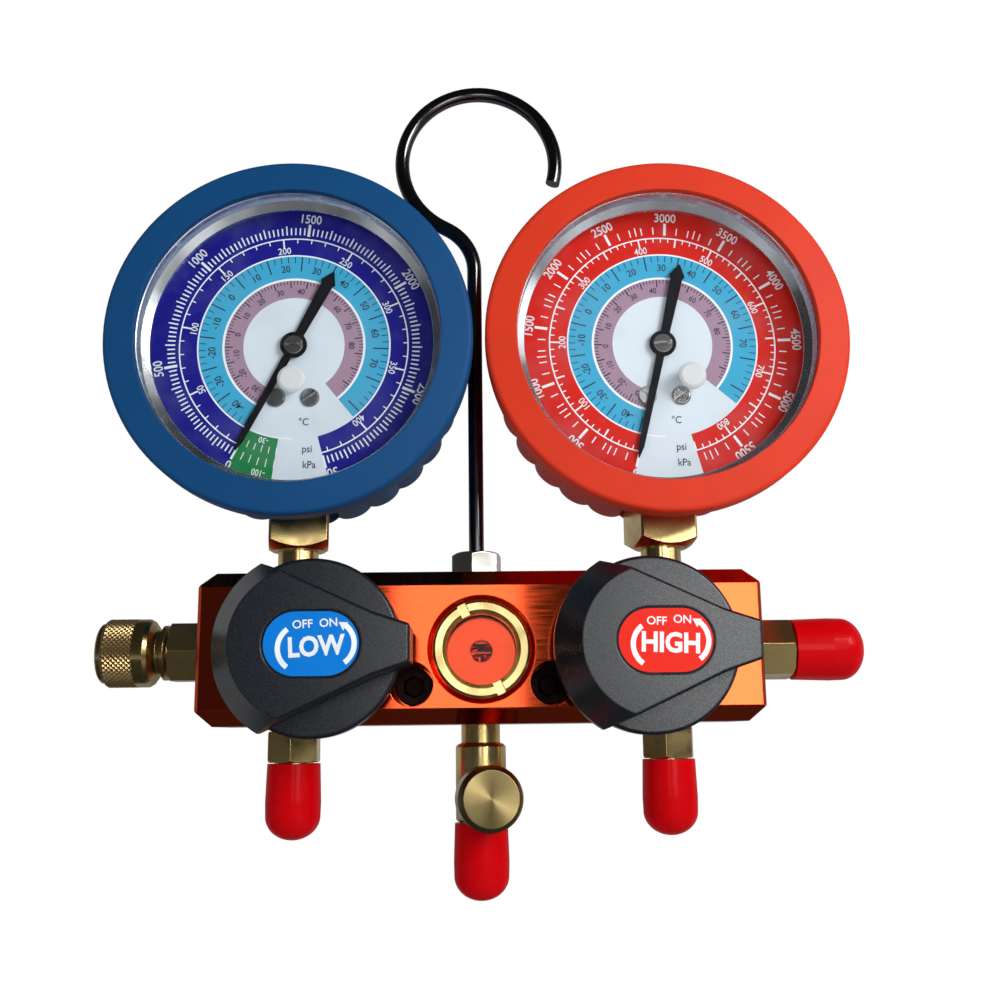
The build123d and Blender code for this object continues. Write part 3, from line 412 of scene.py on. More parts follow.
def spun_finish(metals, centre, axis=(0.14, -0.99, 0.0), ring_pitch=0.22 * MM):
    """Fine rings round the axis of the cap, which spread its highlights into a fan."""
    material, tree, shader = new_finish("spun_brass", metallic=1.0, roughness=0.3, anisotropic=0.85)
    arm = put(tree, "ShaderNodeVectorMath", own_place(tree), tuple(centre),
              operation="SUBTRACT").outputs[0]
    around = put(tree, "ShaderNodeVectorMath", arm, axis, operation="CROSS_PRODUCT")
    tree.links.new(around.outputs[0], shader.inputs["Tangent"])
    distance = put(tree, "ShaderNodeVectorMath", arm, operation="LENGTH").outputs["Value"]
    rings = calc(tree, "SINE", product(tree, distance, 2 * pi / ring_pitch))
    patches = surface_grain(tree, patch_scale=220.0, grain_scale=2000.0)[0]
    dim, light = scaled(metals.brass, 0.38), scaled(metals.brass, 0.48)
    feed(tree, shader, base_color=blend_colour(tree, patches, dim, light))
    emboss(tree, shader, rings, distance=0.0000012, edge_radius=0.00025)
    return material


def chrome_finish(name, tint, gloss):
    """Plated or bare steel whose gloss varies a little."""
    material, tree, shader = new_finish(name, metallic=1.0)
    patches, specks = surface_grain(tree, patch_scale=90.0, grain_scale=3000.0)
    feed(tree, shader, base_color=blend_colour(tree, patches, scaled(tint, 0.82), tint),
         roughness=varied(tree, patches, gloss * 0.7, gloss * 1.4))
    emboss(tree, shader, specks, distance=0.0000003, edge_radius=0.0002)
    return material


def moulded_finish(name, tint, gloss, grain_depth, edge_radius=0.0003, coat=0.0, pale=0.25,
                   grain_scale=2600.0, shine=0.3, **sockets):
    """Rubber, vinyl or plastic: an even colour with faint patches, a skin grain and paler edges."""
    material, tree, shader = new_finish(name, **sockets)
    shader.inputs["Coat Weight"].default_value = coat
    shader.inputs["Coat Roughness"].default_value = 0.1
    shader.inputs["Specular IOR Level"].default_value = shine
    patches, grain = surface_grain(tree, patch_scale=70.0, grain_scale=grain_scale)
    worn = edge_wear(tree, reach=0.0004, amount=pale)
    tone = blend_colour(tree, patches, scaled(tint, 0.84), tint)
    feed(tree, shader, base_color=blend_colour(tree, worn, tone, scaled(tint, 0.8, 0.12)),
         roughness=varied(tree, grain, gloss - 0.05, gloss + 0.06))
    emboss(tree, shader, grain, distance=grain_depth, edge_radius=edge_radius)
    return material


def glass_finish(name, tint, gloss, ior=1.46):
    """A window that bends and mirrors light; shadow, matt and mirror rays go straight through."""
    material, tree, shader = new_finish(name, base_color=(*tint, 1.0), roughness=gloss,
                                        transmission_weight=1.0, ior=ior)
    rays = put(tree, "ShaderNodeLightPath").outputs
    through = calc(tree, "MAXIMUM", rays["Is Shadow Ray"], rays["Is Diffuse Ray"])
    through = calc(tree, "MAXIMUM", through, rays["Is Glossy Ray"])
    clear = put(tree, "ShaderNodeBsdfTransparent", (0.97, 0.98, 0.98, 1.0))
    either = put(tree, "ShaderNodeMixShader", through, shader.outputs[0], clear.outputs[0])
    tree.links.new(either.outputs[0], tree.nodes["Material Output"].inputs["Surface"])
    smears = surface_grain(tree, patch_scale=40.0, grain_scale=300.0)[0]
    emboss(tree, shader, smears, distance=0.00001)
    return material


def printed_dial(gauges, side):
    """The whole face of one dial: bands, then marks, at radii in millimetres from its centre."""
    scale = SCALES[side]
    material, tree, shader = new_finish(f"{side}_dial_print", roughness=0.45,
                                        specular_ior_level=0.15)
    radius, sweep = use(tree, "Dial Polar", millimetres_from(tree, middle_of(f"{side}_dial")))
    start, end, pastel_end = scale["start"], scale["end"], scale["pastel_end"]
    ink = gauges.low_print if side == "low" else gauges.high_print
    face = gauges.dial_white
    kpa, psi = scale["kpa_500"] / 500, scale["psi_100"] / 100

    def band(inner, outer, tint, first=start, last=end):
        nonlocal face
        mask = use(tree, "Dial Band", radius, sweep, inner, outer, first, last)[0]
        face = blend_colour(tree, mask, face, tint)

    def ticks(inner, outer, step, width, tint=PRINT_WHITE, first=start, last=end):
        nonlocal face
        mask = use(tree, "Dial Ticks", radius, sweep, inner, outer, first, last, step, width)[0]
        face = blend_colour(tree, mask, face, tint)

    band(25.0, 40.0, ink)
    if side == "low":
        band(25.0, 40.0, gauges.vacuum, VACUUM_START, start)
        ticks(30.9, 33.0, 3.8, 0.22, first=VACUUM_START, last=start)
        ticks(27.6, 29.4, 3.8, 0.22, first=VACUUM_START, last=start)

    # Outer pressure scale
    ticks(30.8, 32.8, kpa * scale["minor"], scale["minor_width"])
    ticks(30.5, 33.9, kpa * 500, 0.72)
    ticks(30.8, scale["middle_outer"], kpa * scale["middle"], scale["middle_width"])

    # Inner pressure scale, inside a fine white ring
    band(29.5, 29.85, PRINT_WHITE)
    ticks(28.5, 29.7, psi * 10, 0.28)
    ticks(27.3, 29.7, psi * 50, 0.42)
    band(24.7, 25.15, PRINT_WHITE, 0.0, FULL_TURN)

    # The two temperature bands and their marks
    band(18.55, 24.75, gauges.outer_band, start, pastel_end)
    band(17.95, 18.6, PRINT_WHITE, start, pastel_end)
    band(13.15, 18.0, gauges.inner_band, start, pastel_end)
    ticks(22.9, 24.6, 4.4, 0.22, PRINT_DARK, start + 3, pastel_end - 4)
    ticks(20.6, 24.6, 22.0, 0.34, PRINT_DARK, start + 3, pastel_end - 4)
    ticks(16.9, 17.9, 2.9, 0.22, PRINT_DARK, start + 4, pastel_end - 9)
    ticks(15.9, 17.9, 14.5, 0.32, PRINT_DARK, start + 4, pastel_end - 9)
    band(0.0, 25.2, gauges.dial_white, pastel_end, FULL_TURN)

    patches, grain = surface_grain(tree, patch_scale=90.0, grain_scale=2400.0)
    dulled = remap(tree, patches, 0.45, 0.75, 0.0, 0.14)
    feed(tree, shader, base_color=blend_colour(tree, dulled, face, (0.30, 0.32, 0.36)))
    emboss(tree, shader, grain, distance=0.000004)
    return material


def label_border(tree, side, width=0.45):
    """1 on the dark line that runs round the rounded ends and the flat sides of a label."""
    low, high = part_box(f"{side}_knob_label")
    half_height = (high.z - low.z) / 2 / MM
    half_straight = (high.x - low.x) / 2 / MM - half_height
    axes = put(tree, "ShaderNodeSeparateXYZ", millimetres_from(tree, (low + high) / 2)).outputs
    past = calc(tree, "SUBTRACT", calc(tree, "ABSOLUTE", axes[0]), half_straight)
    past = calc(tree, "MAXIMUM", past, 0.0)
    squares = calc(tree, "ADD", product(tree, past, past), product(tree, axes[2], axes[2]))
    return calc(tree, "GREATER_THAN", calc(tree, "SQRT", squares), half_height - width)


def printed_label(valves, side):
    """A label's ground colour with the two turning arcs printed on it."""
    tint = valves.low_label if side == "low" else valves.high_label
    material, tree, shader = new_finish(f"{side}_label", roughness=0.34, specular_ior_level=0.1)
    face = tint
    for offset, aim in (((-2.3, 0.0, -1.0), 90.0), ((4.6, 0.0, -0.1), 270.0)):
        centre = middle_of(f"{side}_knob_label") + Vector(offset) * MM
        radius, sweep = use(tree, "Dial Polar", millimetres_from(tree, centre))
        mask = use(tree, "Dial Band", radius, sweep, 4.75, 5.95, aim - 54.0, aim + 54.0)[0]
        face = blend_colour(tree, mask, face, (0.86, 0.92, 0.95))
    face = blend_colour(tree, label_border(tree, side), face, valves.knob)
    patches, grain = surface_grain(tree, patch_scale=140.0, grain_scale=2200.0)
    scuffed = remap(tree, patches, 0.5, 0.8, 0.0, 0.2)
    feed(tree, shader, base_color=blend_colour(tree, scuffed, face, scaled(tint, 0.7)))
    emboss(tree, shader, grain, distance=0.000003)
    return material


def pointer_finish(side, hub_radius=2.45):
    """Black needle with a bare steel hub, whose radius is in millimetres."""
    material, tree, shader = new_finish(f"{side}_pointer_black", specular_ior_level=0.15)
    radius = use(tree, "Dial Polar", millimetres_from(tree, middle_of(f"{side}_dial")))[0]
    hub = calc(tree, "LESS_THAN", radius, hub_radius)
    patches, grain = surface_grain(tree, patch_scale=200.0, grain_scale=3000.0)
    black = blend_colour(tree, patches, (0.006, 0.006, 0.008), (0.016, 0.016, 0.02))
    feed(tree, shader, base_color=blend_colour(tree, hub, black, (0.38, 0.38, 0.36)), metallic=hub,
         roughness=varied(tree, grain, 0.3, 0.42))
    emboss(tree, shader, grain, distance=0.000003, edge_radius=0.0001)
    return material


# ---- lettering -------------------------------------------------------------------------

def ink_finish(name, tint):
    """Printed ink, slightly uneven."""
    material, tree, shader = new_finish(name, roughness=0.45)
    patches, grain = surface_grain(tree, patch_scale=900.0, grain_scale=3500.0)
    feed(tree, shader, base_color=blend_colour(tree, patches, scaled(tint, 0.82), tint))
    emboss(tree, shader, grain, distance=0.000002)
    return material


def facing(place, turn):
    """Stands a flat shape up at a place, turned clockwise as the reader sees it."""
    upright = Matrix.Rotation(pi / 2, 4, "X")
    return Matrix.Translation(place) @ Matrix.Rotation(turn, 4, "Y") @ upright


def letter(words, height, place, turn=0.0, bold=0.0, squeeze=1.0):
    """Flat lettering that faces the reader: made a mesh first, then put at its place."""
    bpy.ops.object.select_all(action="DESELECT")
    bpy.ops.object.text_add()
    text = bpy.context.object
    text.data.body = words
    text.data.size = height / CAPITAL_SHARE
    text.data.align_x = "CENTER"
    text.data.align_y = "CENTER"
    text.data.offset = bold
    text.data.extrude = LETTER_THICKNESS / 2
    text.data.resolution_u = 3
    bpy.ops.object.convert(target="MESH")
    made = bpy.context.object
    made.data.transform(facing(place, turn) @ Matrix.Diagonal((squeeze, 1.0, 1.0, 1.0)))
    return made


def arrowhead(size, place, turn):
    """A flat triangle that faces the reader and points up before it is turned."""
    bpy.ops.object.select_all(action="DESELECT")
    bpy.ops.mesh.primitive_circle_add(vertices=3, radius=size, fill_type="NGON")
    made = bpy.context.object
    bpy.ops.object.mode_set(mode="EDIT")
    bpy.ops.mesh.extrude_region_move(TRANSFORM_OT_translate={"value": (0, 0, LETTER_THICKNESS)})
    bpy.ops.mesh.select_all(action="SELECT")
    bpy.ops.mesh.normals_make_consistent(inside=False)
    bpy.ops.object.mode_set(mode="OBJECT")
    made.data.transform(facing(place, turn))
    return made


def finish_piece(made, name, material, body):
    """Names a piece, gives it its one material and slot, and makes it ride on its body."""
    made.name = made.data.name = name
    made.data.materials.clear()
    made.data.materials.append(material)
    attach(made, body)


def join_lettering(name, pieces, material, body):
    bpy.ops.object.select_all(action="DESELECT")
    for piece in pieces:
        piece.select_set(True)
    bpy.context.view_layer.objects.active = pieces[0]
    bpy.ops.object.join()
    finish_piece(bpy.context.object, name, material, body)


def dial_letter(side, words, sweep, radius, height, bold, squeeze=1.0, standing=False):
    """Print on the face of a dial: on its radius, or standing upright."""
    middle = middle_of(f"{side}_dial")
    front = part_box(f"{side}_dial")[0].y - 0.00003
    angle = radians(sweep)
    place = (middle.x - radius * sin(angle), front, middle.z - radius * cos(angle))
    return letter(words, height, place, 0.0 if standing else angle + pi, bold, squeeze)


# ---- pieces made here ------------------------------------------------------------------

def select_points(mesh, wanted):
    """Selects the vertices for which wanted is true, and nothing else; call it in object mode."""
    for polygon in mesh.polygons:
        polygon.select = False
    for edge in mesh.edges:
        edge.select = False
    for vertex in mesh.vertices:
        vertex.select = wanted(vertex.co)


def apply_modifier(made, kind, **settings):
    modifier = made.modifiers.new(kind.title(), kind)
    for name, value in settings.items():
        setattr(modifier, name, value)
    bpy.context.view_layer.objects.active = made
    bpy.ops.object.modifier_apply(modifier=modifier.name)


def knurled_ring(metals, radius, span):
    """A closed ring about Z whose outside is a mesh of small pyramids."""
    around = 2 * metals.knurl_count
    rows = round(span / (2 * pi * radius / around))
    bpy.ops.object.select_all(action="DESELECT")
    bpy.ops.mesh.primitive_circle_add(vertices=around, radius=radius - metals.knurl_depth)
    ring = bpy.context.object
    bpy.ops.object.mode_set(mode="EDIT")
    for row in range(rows):
        bpy.ops.mesh.extrude_region_move(TRANSFORM_OT_translate={"value": (0, 0, span / rows)})
    bpy.ops.object.mode_set(mode="OBJECT")

    def proud(point):
        row = round(point.z * rows / span)
        column = round(atan2(point.y, point.x) * around / (2 * pi))
        return 0 < row < rows and (row + column) % 2 == 0

    select_points(ring.data, proud)
    bpy.ops.object.mode_set(mode="EDIT")
    grow = radius / (radius - metals.knurl_depth)
    bpy.ops.transform.resize(value=(grow, grow, 1.0), center_override=(0.0, 0.0, 0.0))
    bpy.ops.mesh.select_all(action="DESELECT")
    bpy.ops.mesh.select_non_manifold()
    bpy.ops.mesh.extrude_region_move()
    bpy.ops.transform.resize(value=(0.95, 0.95, 1.0), center_override=(0.0, 0.0, 0.0))
    bpy.ops.mesh.bridge_edge_loops()
    bpy.ops.mesh.select_all(action="SELECT")
    bpy.ops.mesh.remove_doubles(threshold=0.000001)
    bpy.ops.mesh.normals_make_consistent(inside=False)
    bpy.ops.mesh.quads_convert_to_tris(quad_method="SHORTEST_DIAGONAL")
    bpy.ops.object.mode_set(mode="OBJECT")
    return ring


def socket_head(radius, height):
    """The head of a socket screw about Z, with its hexagon socket."""
    bpy.ops.object.select_all(action="DESELECT")
    bpy.ops.mesh.primitive_cylinder_add(vertices=6, radius=radius * 0.55, depth=height)
    key = bpy.context.object
    key.data.transform(Matrix.Translation((0.0, 0.0, height / 2)))
    bpy.ops.object.select_all(action="DESELECT")
    bpy.ops.mesh.primitive_cylinder_add(vertices=48, radius=radius, depth=height)
    head = bpy.context.object
    apply_modifier(head, "BOOLEAN", operation="DIFFERENCE", object=key, solver="EXACT")
    bpy.data.objects.remove(key)
    apply_modifier(head, "BEVEL", width=0.00035, segments=2, limit_method="ANGLE")
    return head


# ---- operators -------------------------------------------------------------------------

class MANIFOLD_OT_block(Operator):
    """Anodised block, its seals and the sight glass window"""
    bl_idname = "manifold.block"
    bl_label = "Dress Block"

    def execute(self, context):
        metals = context.scene.manifold_metals
        paint(anodised_finish(metals), "manifold_block")
        seal = moulded_finish("seal_rubber", (0.02, 0.02, 0.02), gloss=0.5, grain_depth=0.000004)
        paint(seal, "sight_glass_seal")
        window = glass_finish("sight_window", (0.26, 0.17, 0.16), gloss=0.02, ior=1.22)
        paint(window, "sight_glass")
        seat = moulded_finish("seat_plastic", (0.82, 0.82, 0.80), gloss=0.4, grain_depth=0.000003)
        paint(seat, "valve_seats")
        return {"FINISHED"}


class MANIFOLD_OT_brass(Operator):
    """Brass fittings, sockets, caps and movement parts"""
    bl_idname = "manifold.brass"
    bl_label = "Dress Brass"

    def execute(self, context):
        metals = context.scene.manifold_metals
        plain = ["sight_glass_ring", "tee_body", "right_fitting", "left_fitting"]
        kinds = ("hose_fitting", "gauge_socket", "valve_bonnet", "movement_frame", "sector_gear",
                 "tip_link")
        plain += [f"{side}_{kind}" for side in SIDES for kind in kinds]
        paint(brass_finish(metals), *plain)
        paint(spun_finish(metals, middle_of("tee_cap")), "tee_cap")
        handled = brass_finish(metals, "knurled_brass", tarnished=0.9, gloss=0.22, darker=0.6)
        paint(handled, "left_cap")
        bronze = brass_finish(metals, "spring_bronze", tarnished=0.6, gloss=0.25)
        for side in SIDES:
            paint(bronze, f"{side}_bourdon_tube", f"{side}_hairspring")
        return {"FINISHED"}


class MANIFOLD_OT_knurl(Operator):
    """Diamond knurl round the screw cap of the left port"""
    bl_idname = "manifold.knurl"
    bl_label = "Knurl Left Cap"

    def execute(self, context):
        proud, span, from_end = 0.0001, 0.0084, 0.0018
        low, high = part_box("left_cap")
        middle = middle_of("left_cap")
        ring = knurled_ring(context.scene.manifold_metals, (high.z - low.z) / 2 + proud, span)
        along = Matrix.Rotation(pi / 2, 4, "Y")
        ring.data.transform(Matrix.Translation((low.x + from_end, middle.y, middle.z)) @ along)
        finish_piece(ring, "left_cap_knurl", bpy.data.materials["knurled_brass"], "left_port_cap")
        return {"FINISHED"}


class MANIFOLD_OT_panel_screws(Operator):
    """Black socket screws at the bottom of the two counterbores, whose near-black is painted shade
    for the shade deep in the holes
    """
    bl_idname = "manifold.panel_screws"
    bl_label = "Add Panel Screws"

    def execute(self, context):
        # Painted shade: the near-black screws fill the counterbores so that they read dark,
        # standing in for the shade deep in the holes.
        black = chrome_finish("screw_black_painted_shade", (0.022, 0.016, 0.016), gloss=0.5)
        radius, height = 0.0050, 0.0058
        spread, seat_y, level = 0.0176, -0.0080, -0.0093
        left = socket_head(radius, height)
        right = left.copy()
        right.data = left.data.copy()
        context.scene.collection.objects.link(right)
        facing_out = Matrix.Rotation(pi / 2, 4, "X")
        for screw, name, x in ((left, "left_panel_screw", -spread),
                               (right, "right_panel_screw", spread)):
            screw.data.transform(Matrix.Translation((x, seat_y - height / 2, level)) @ facing_out)
            finish_piece(screw, name, black, "manifold")
        return {"FINISHED"}


class MANIFOLD_OT_hook(Operator):
    """Hanger hook and its nut"""
    bl_idname = "manifold.hook"
    bl_label = "Dress Hook"

    def execute(self, context):
        hook = context.scene.manifold_metals.hook
        paint(chrome_finish("black_chrome", hook, gloss=0.12), "hanger_hook")
        paint(chrome_finish("nut_steel", (0.80, 0.78, 0.70), gloss=0.16), "hook_nut")
        return {"FINISHED"}


class MANIFOLD_OT_caps(Operator):
    """Dipped vinyl caps of the hose ports"""
    bl_idname = "manifold.caps"
    bl_label = "Dress Hose Caps"

    def execute(self, context):
        vinyl = moulded_finish("red_vinyl", context.scene.manifold_valves.cap, gloss=0.34,
                               grain_depth=0.000012, coat=0.08, pale=0.0, grain_scale=350.0,
                               shine=0.05)
        paint(vinyl, "tee_hose_cap", "right_cap", "low_hose_cap", "high_hose_cap")
        return {"FINISHED"}


class MANIFOLD_OT_valves(Operator):
    """Knobs, stems and printed labels of the two valves"""
    bl_idname = "manifold.valves"
    bl_label = "Dress Valves"

    def execute(self, context):
        valves = context.scene.manifold_valves
        knob = moulded_finish("knob_plastic", valves.knob, gloss=0.29, grain_depth=0.000012,
                              edge_radius=0.0005, shine=0.72)
        steel = chrome_finish("steel", (0.56, 0.56, 0.57), gloss=0.25)
        white = ink_finish("label_ink", (0.88, 0.93, 0.95))
        small = 0.0019
        for side, word, tilt, squeeze in (("low", "LOW", -3.0, 0.88), ("high", "HIGH", 2.5, 0.91)):
            paint(knob, f"{side}_knob")
            paint(steel, f"{side}_valve_ball", f"{side}_valve_stem", f"{side}_knob_screw",
                  f"{side}_dial_screws", f"{side}_pinion")
            paint(printed_label(valves, side), f"{side}_knob_label")
            middle = middle_of(f"{side}_knob_label")
            origin = Vector((middle.x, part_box(f"{side}_knob_label")[0].y - 0.00002, middle.z))
            turn = radians(tilt)
            words = [
                letter(word, valves.word_height, origin + Vector((0.0011, 0.0, -0.0008)), turn,
                       bold=0.00022, squeeze=squeeze),
                letter("OFF", small, origin + Vector((-0.0020, 0.0, 0.0044)), turn, bold=0.00004),
                letter("ON", small, origin + Vector((0.0040, 0.0, 0.0047)), turn, bold=0.00004),
                arrowhead(0.0013, origin + Vector((0.0074, 0.0, 0.0042)), radians(-58.0)),
            ]
            join_lettering(f"{side}_label_words", words, white, f"{side}_valve")
        return {"FINISHED"}


class MANIFOLD_OT_gauges(Operator):
    """Boots, cases, windows and pointers of the two gauges"""
    bl_idname = "manifold.gauges"
    bl_label = "Dress Gauges"

    def execute(self, context):
        gauges = context.scene.manifold_gauges
        case = chrome_finish("case_steel", (0.62, 0.64, 0.67), gloss=0.1)
        lip = chrome_finish("bezel_lip", (0.86, 0.90, 0.95), gloss=0.2)
        window = glass_finish("clear_window", NO_TINT, gloss=0.0)
        plug = moulded_finish("plug_rubber", (0.84, 0.88, 0.90), gloss=0.35, grain_depth=0.000002,
                              pale=0.0, grain_scale=600.0, transmission_weight=0.25)
        for side, tint, name in (("low", gauges.low_boot, "blue_boot"),
                                 ("high", gauges.high_boot, "red_boot")):
            boot = moulded_finish(name, tint, gloss=0.5, grain_depth=0.00002, edge_radius=0.0006,
                                  shine=0.16)
            paint(boot, f"{side}_boot")
            paint(case, f"{side}_case")
            paint(lip, f"{side}_bezel")
            paint(window, f"{side}_lens")
            paint(plug, f"{side}_lens_plug")
            paint(pointer_finish(side), f"{side}_pointer")
        return {"FINISHED"}


class MANIFOLD_OT_dials(Operator):
    """Printed dials with their numbers"""
    bl_idname = "manifold.dials"
    bl_label = "Print Dials"

    def execute(self, context):
        gauges = context.scene.manifold_gauges
        white = ink_finish("dial_ink_white", (0.90, 0.94, 1.0))
        dark = ink_finish("dial_ink_dark", PRINT_DARK)
        for side in SIDES:
            paint(printed_dial(gauges, side), f"{side}_dial")
            scale = SCALES[side]
            start = scale["start"]
            numbers = []
            for value in scale["outer_numbers"]:
                numbers.append(dial_letter(side, str(value), start + value * scale["kpa_500"] / 500,
                                           height=gauges.number_height, **OUTER_PRINT))
            for value in scale["inner_numbers"]:
                numbers.append(dial_letter(side, str(value), start + value * scale["psi_100"] / 100,
                                           **INNER_PRINT))
            numbers.append(dial_letter(side, "0", start, **ZERO_PRINT))
            if side == "low":
                numbers.append(dial_letter(side, "-100", 14.0, **OUTER_VACUUM_PRINT))
                numbers.append(dial_letter(side, "-30", 16.0, **INNER_VACUUM_PRINT))
            join_lettering(f"{side}_pressure_numbers", numbers, white, "manifold")
            degrees = [dial_letter(side, unit, UNIT_SWEEP, radius, standing=True, **UNIT_PRINT)
                       for unit, radius in UNIT_RADII.items()]
            for step in range(12):
                degrees.append(dial_letter(side, str(-40 + 10 * step), start + 14 + 22 * step,
                                           **OUTER_DEGREE_PRINT))
                degrees.append(dial_letter(side, str(-30 + 10 * step), start + 12 + 21 * step,
                                           **INNER_DEGREE_PRINT))
            join_lettering(f"{side}_temperature_numbers", degrees, dark, "manifold")
        return {"FINISHED"}


# ---- stage -----------------------------------------------------------------------------

def area_lamp(name, place, aim, width, height, power):
    """A rectangular lamp that faces the point it is aimed at."""
    lamp = bpy.data.lights.new(name, "AREA")
    lamp.shape = "RECTANGLE"
    lamp.size, lamp.size_y, lamp.energy = width, height, power
    holder = bpy.data.objects.new(name, lamp)
    bpy.context.scene.collection.objects.link(holder)
    holder.location = place
    holder.rotation_euler = (Vector(aim) - Vector(place)).to_track_quat("-Z", "Y").to_euler()
    return holder


def surroundings(sky_light):
    """White past the object; in mirrors a plain room, pale behind it and dark above and below."""
    world = bpy.data.worlds.new("Surroundings")
    bpy.context.scene.world = world
    world.use_nodes = True
    tree = world.node_tree
    ground = tree.nodes["Background"]
    rays = put(tree, "ShaderNodeLightPath").outputs
    ahead = put(tree, "ShaderNodeSeparateXYZ", put(tree, "ShaderNodeTexCoord").outputs["Generated"])
    behind = remap(tree, ahead.outputs[1], -0.05, 0.3)
    steep = remap(tree, calc(tree, "ABSOLUTE", ahead.outputs[2]), 0.45, 0.8)
    level = calc(tree, "SUBTRACT", 1.0, steep)
    mirrored = calc(tree, "ADD", 0.035, product(tree, behind, level, 0.35))
    seen = calc(tree, "MAXIMUM", rays["Is Camera Ray"], rays["Is Transmission Ray"])
    strength = calc(tree, "MAXIMUM", seen, product(tree, rays["Is Glossy Ray"], mirrored))
    other = calc(tree, "SUBTRACT", 1.0, calc(tree, "MAXIMUM", seen, rays["Is Glossy Ray"]))
    matt = product(tree, other, sky_light)
    ground.inputs["Color"].default_value = (1.0, 1.0, 1.0, 1.0)
    tree.links.new(calc(tree, "MAXIMUM", strength, matt), ground.inputs["Strength"])


def dark_board(name, place, width, depth, tilt, grey):
    """A dark board near the object, which only mirror-like surfaces see."""
    bpy.ops.mesh.primitive_plane_add(size=1.0)
    board = bpy.context.object
    board.name = name
    turned = Matrix.Translation(place) @ Matrix.Rotation(radians(tilt), 4, "X")
    board.data.transform(turned @ Matrix.Diagonal((width, depth, 1.0, 1.0)))
    board.data.materials.append(grey)
    board.visible_camera = board.visible_diffuse = board.visible_shadow = False
    board.visible_transmission = False


def floor_finish():
    """A pale floor that keeps the shadow near the object and turns plain white further away."""
    material, tree, shader = new_finish("studio_floor", roughness=0.7)
    patches, grain = surface_grain(tree, patch_scale=3.0, grain_scale=60.0)
    pale, paler = (0.86, 0.86, 0.86), (0.90, 0.90, 0.90)
    feed(tree, shader, base_color=blend_colour(tree, patches, pale, paler))
    emboss(tree, shader, grain, distance=0.0001)
    rays = put(tree, "ShaderNodeLightPath").outputs
    flat = put(tree, "ShaderNodeVectorMath", own_place(tree), (1.0, 1.0, 0.0),
               operation="MULTIPLY").outputs[0]
    away = put(tree, "ShaderNodeVectorMath", flat, operation="LENGTH").outputs["Value"]
    seen = calc(tree, "MAXIMUM", rays["Is Camera Ray"], rays["Is Transmission Ray"])
    lifted = product(tree, seen, remap(tree, away, 0.3, 0.7, 0.75, 1.0))
    glow = put(tree, "ShaderNodeEmission", (1.0, 1.0, 1.0, 1.0), 1.0)
    either = put(tree, "ShaderNodeMixShader", lifted, shader.outputs[0], glow.outputs[0])
    tree.links.new(either.outputs[0], tree.nodes["Material Output"].inputs["Surface"])
    return material


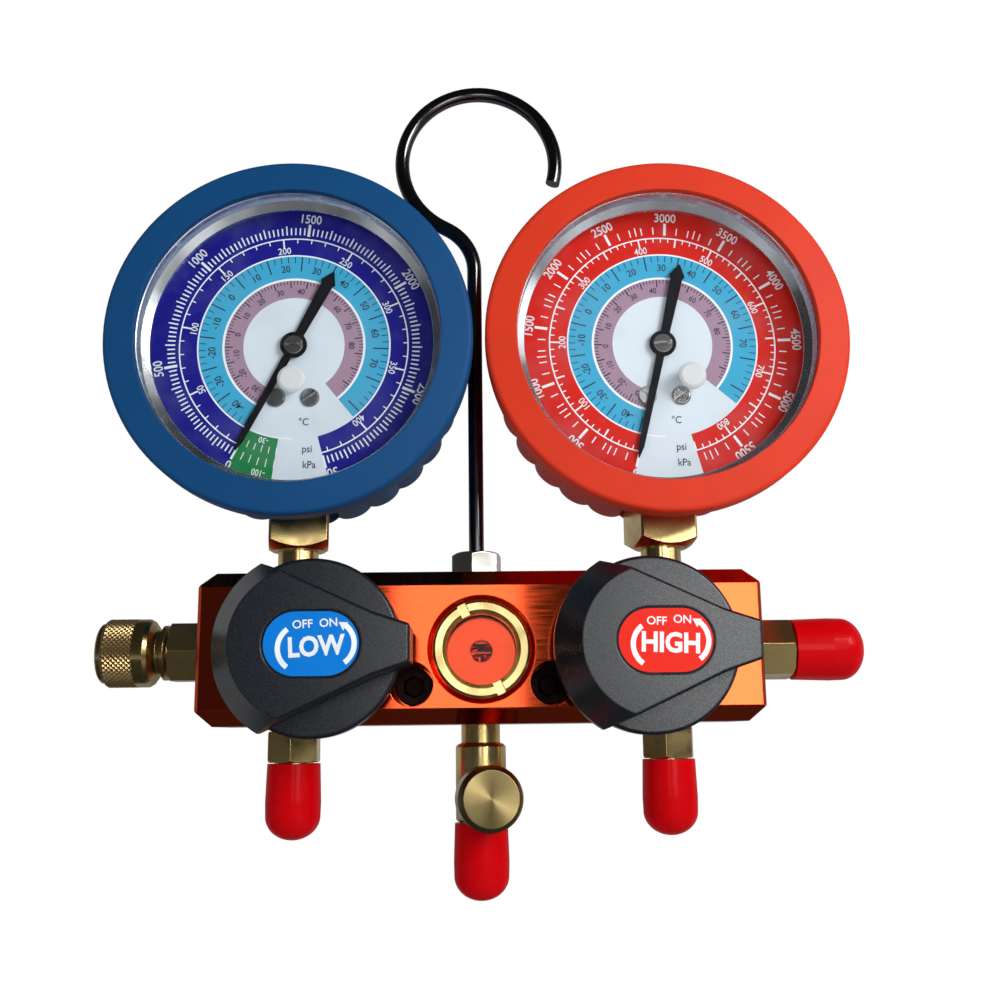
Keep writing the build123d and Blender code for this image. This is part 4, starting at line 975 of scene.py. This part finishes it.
class MANIFOLD_OT_stage(Operator):
    """Camera, floor, lamps and surroundings"""
    bl_idname = "manifold.stage"
    bl_label = "Set Stage"

    def execute(self, context):
        stage = context.scene.manifold_stage
        bpy.ops.object.select_all(action="DESELECT")
        bpy.ops.mesh.primitive_plane_add(size=9.0)
        floor = context.object
        floor.name = "studio_floor"
        floor.data.transform(Matrix.Translation((0.0, 2.0, -stage.floor_drop)))
        floor.data.materials.append(floor_finish())
        area_lamp("key", (0.52, -0.62, 0.34), LAMP_AIM, 0.30, 0.30, stage.key_power)
        fill = area_lamp("fill", (-0.75, -0.55, 0.25), LAMP_AIM, 0.6, 0.5, stage.fill_power)
        fill.visible_glossy = False
        for card in CARDS:
            area_lamp(*card)
        grey = ink_finish("board_grey", (0.10, 0.10, 0.10))
        for board in BOARDS:
            dark_board(*board, grey)
        surroundings(stage.sky_light)
        camera = bpy.data.objects.new("Camera", bpy.data.cameras.new("Camera"))
        context.scene.collection.objects.link(camera)
        camera.data.sensor_width = CAMERA_SENSOR
        camera.data.lens = CAMERA_LENS
        camera.data.clip_start = 0.01
        turn = Matrix.Identity(3)
        level = (90.0, "X")
        for angle, axis in ((CAMERA_YAW, "Z"), (CAMERA_PITCH, "X"), (CAMERA_ROLL, "Y"), level):
            turn = turn @ Matrix.Rotation(radians(angle), 3, axis)
        camera.matrix_world = Matrix.Translation(CAMERA_PLACE) @ turn.to_4x4()
        context.scene.camera = camera
        context.scene.view_settings.view_transform = "Standard"
        return {"FINISHED"}


# ---- sidebar and registration ----------------------------------------------------------

class MANIFOLD_PT_sidebar(Panel):
    bl_label = "Refrigerant Manifold"
    bl_idname = "MANIFOLD_PT_sidebar"
    bl_space_type = "VIEW_3D"
    bl_region_type = "UI"
    bl_category = "Manifold"

    def draw(self, context):
        for group in PROPERTY_GROUPS:
            values = getattr(context.scene, PROPERTY_GROUPS[group])
            box = self.layout.box()
            for name in values.bl_rna.properties.keys():
                if name not in ("rna_type", "name"):
                    box.prop(values, name)
        for operator in OPERATORS:
            self.layout.operator(operator.bl_idname)


PROPERTY_GROUPS = {ManifoldMetals: "manifold_metals", ManifoldGauges: "manifold_gauges",
                   ManifoldValves: "manifold_valves", ManifoldStage: "manifold_stage"}
OPERATORS = (MANIFOLD_OT_block, MANIFOLD_OT_panel_screws, MANIFOLD_OT_brass, MANIFOLD_OT_knurl,
             MANIFOLD_OT_hook, MANIFOLD_OT_caps, MANIFOLD_OT_valves, MANIFOLD_OT_gauges,
             MANIFOLD_OT_dials, MANIFOLD_OT_stage)


def register():
    for group, name in PROPERTY_GROUPS.items():
        bpy.utils.register_class(group)
        setattr(bpy.types.Scene, name, PointerProperty(type=group))
    for made in (*OPERATORS, MANIFOLD_PT_sidebar):
        bpy.utils.register_class(made)


def unregister():
    for made in (MANIFOLD_PT_sidebar, *reversed(OPERATORS)):
        bpy.utils.unregister_class(made)
    for group, name in PROPERTY_GROUPS.items():
        delattr(bpy.types.Scene, name)
        bpy.utils.unregister_class(group)


def main():
    register()
    make_groups()
    bpy.ops.manifold.block()
    bpy.ops.manifold.panel_screws()
    bpy.ops.manifold.brass()
    bpy.ops.manifold.knurl()
    bpy.ops.manifold.hook()
    bpy.ops.manifold.caps()
    bpy.ops.manifold.valves()
    bpy.ops.manifold.gauges()
    bpy.ops.manifold.dials()
    bpy.ops.manifold.stage()


if __name__ == "__main__":
    main()
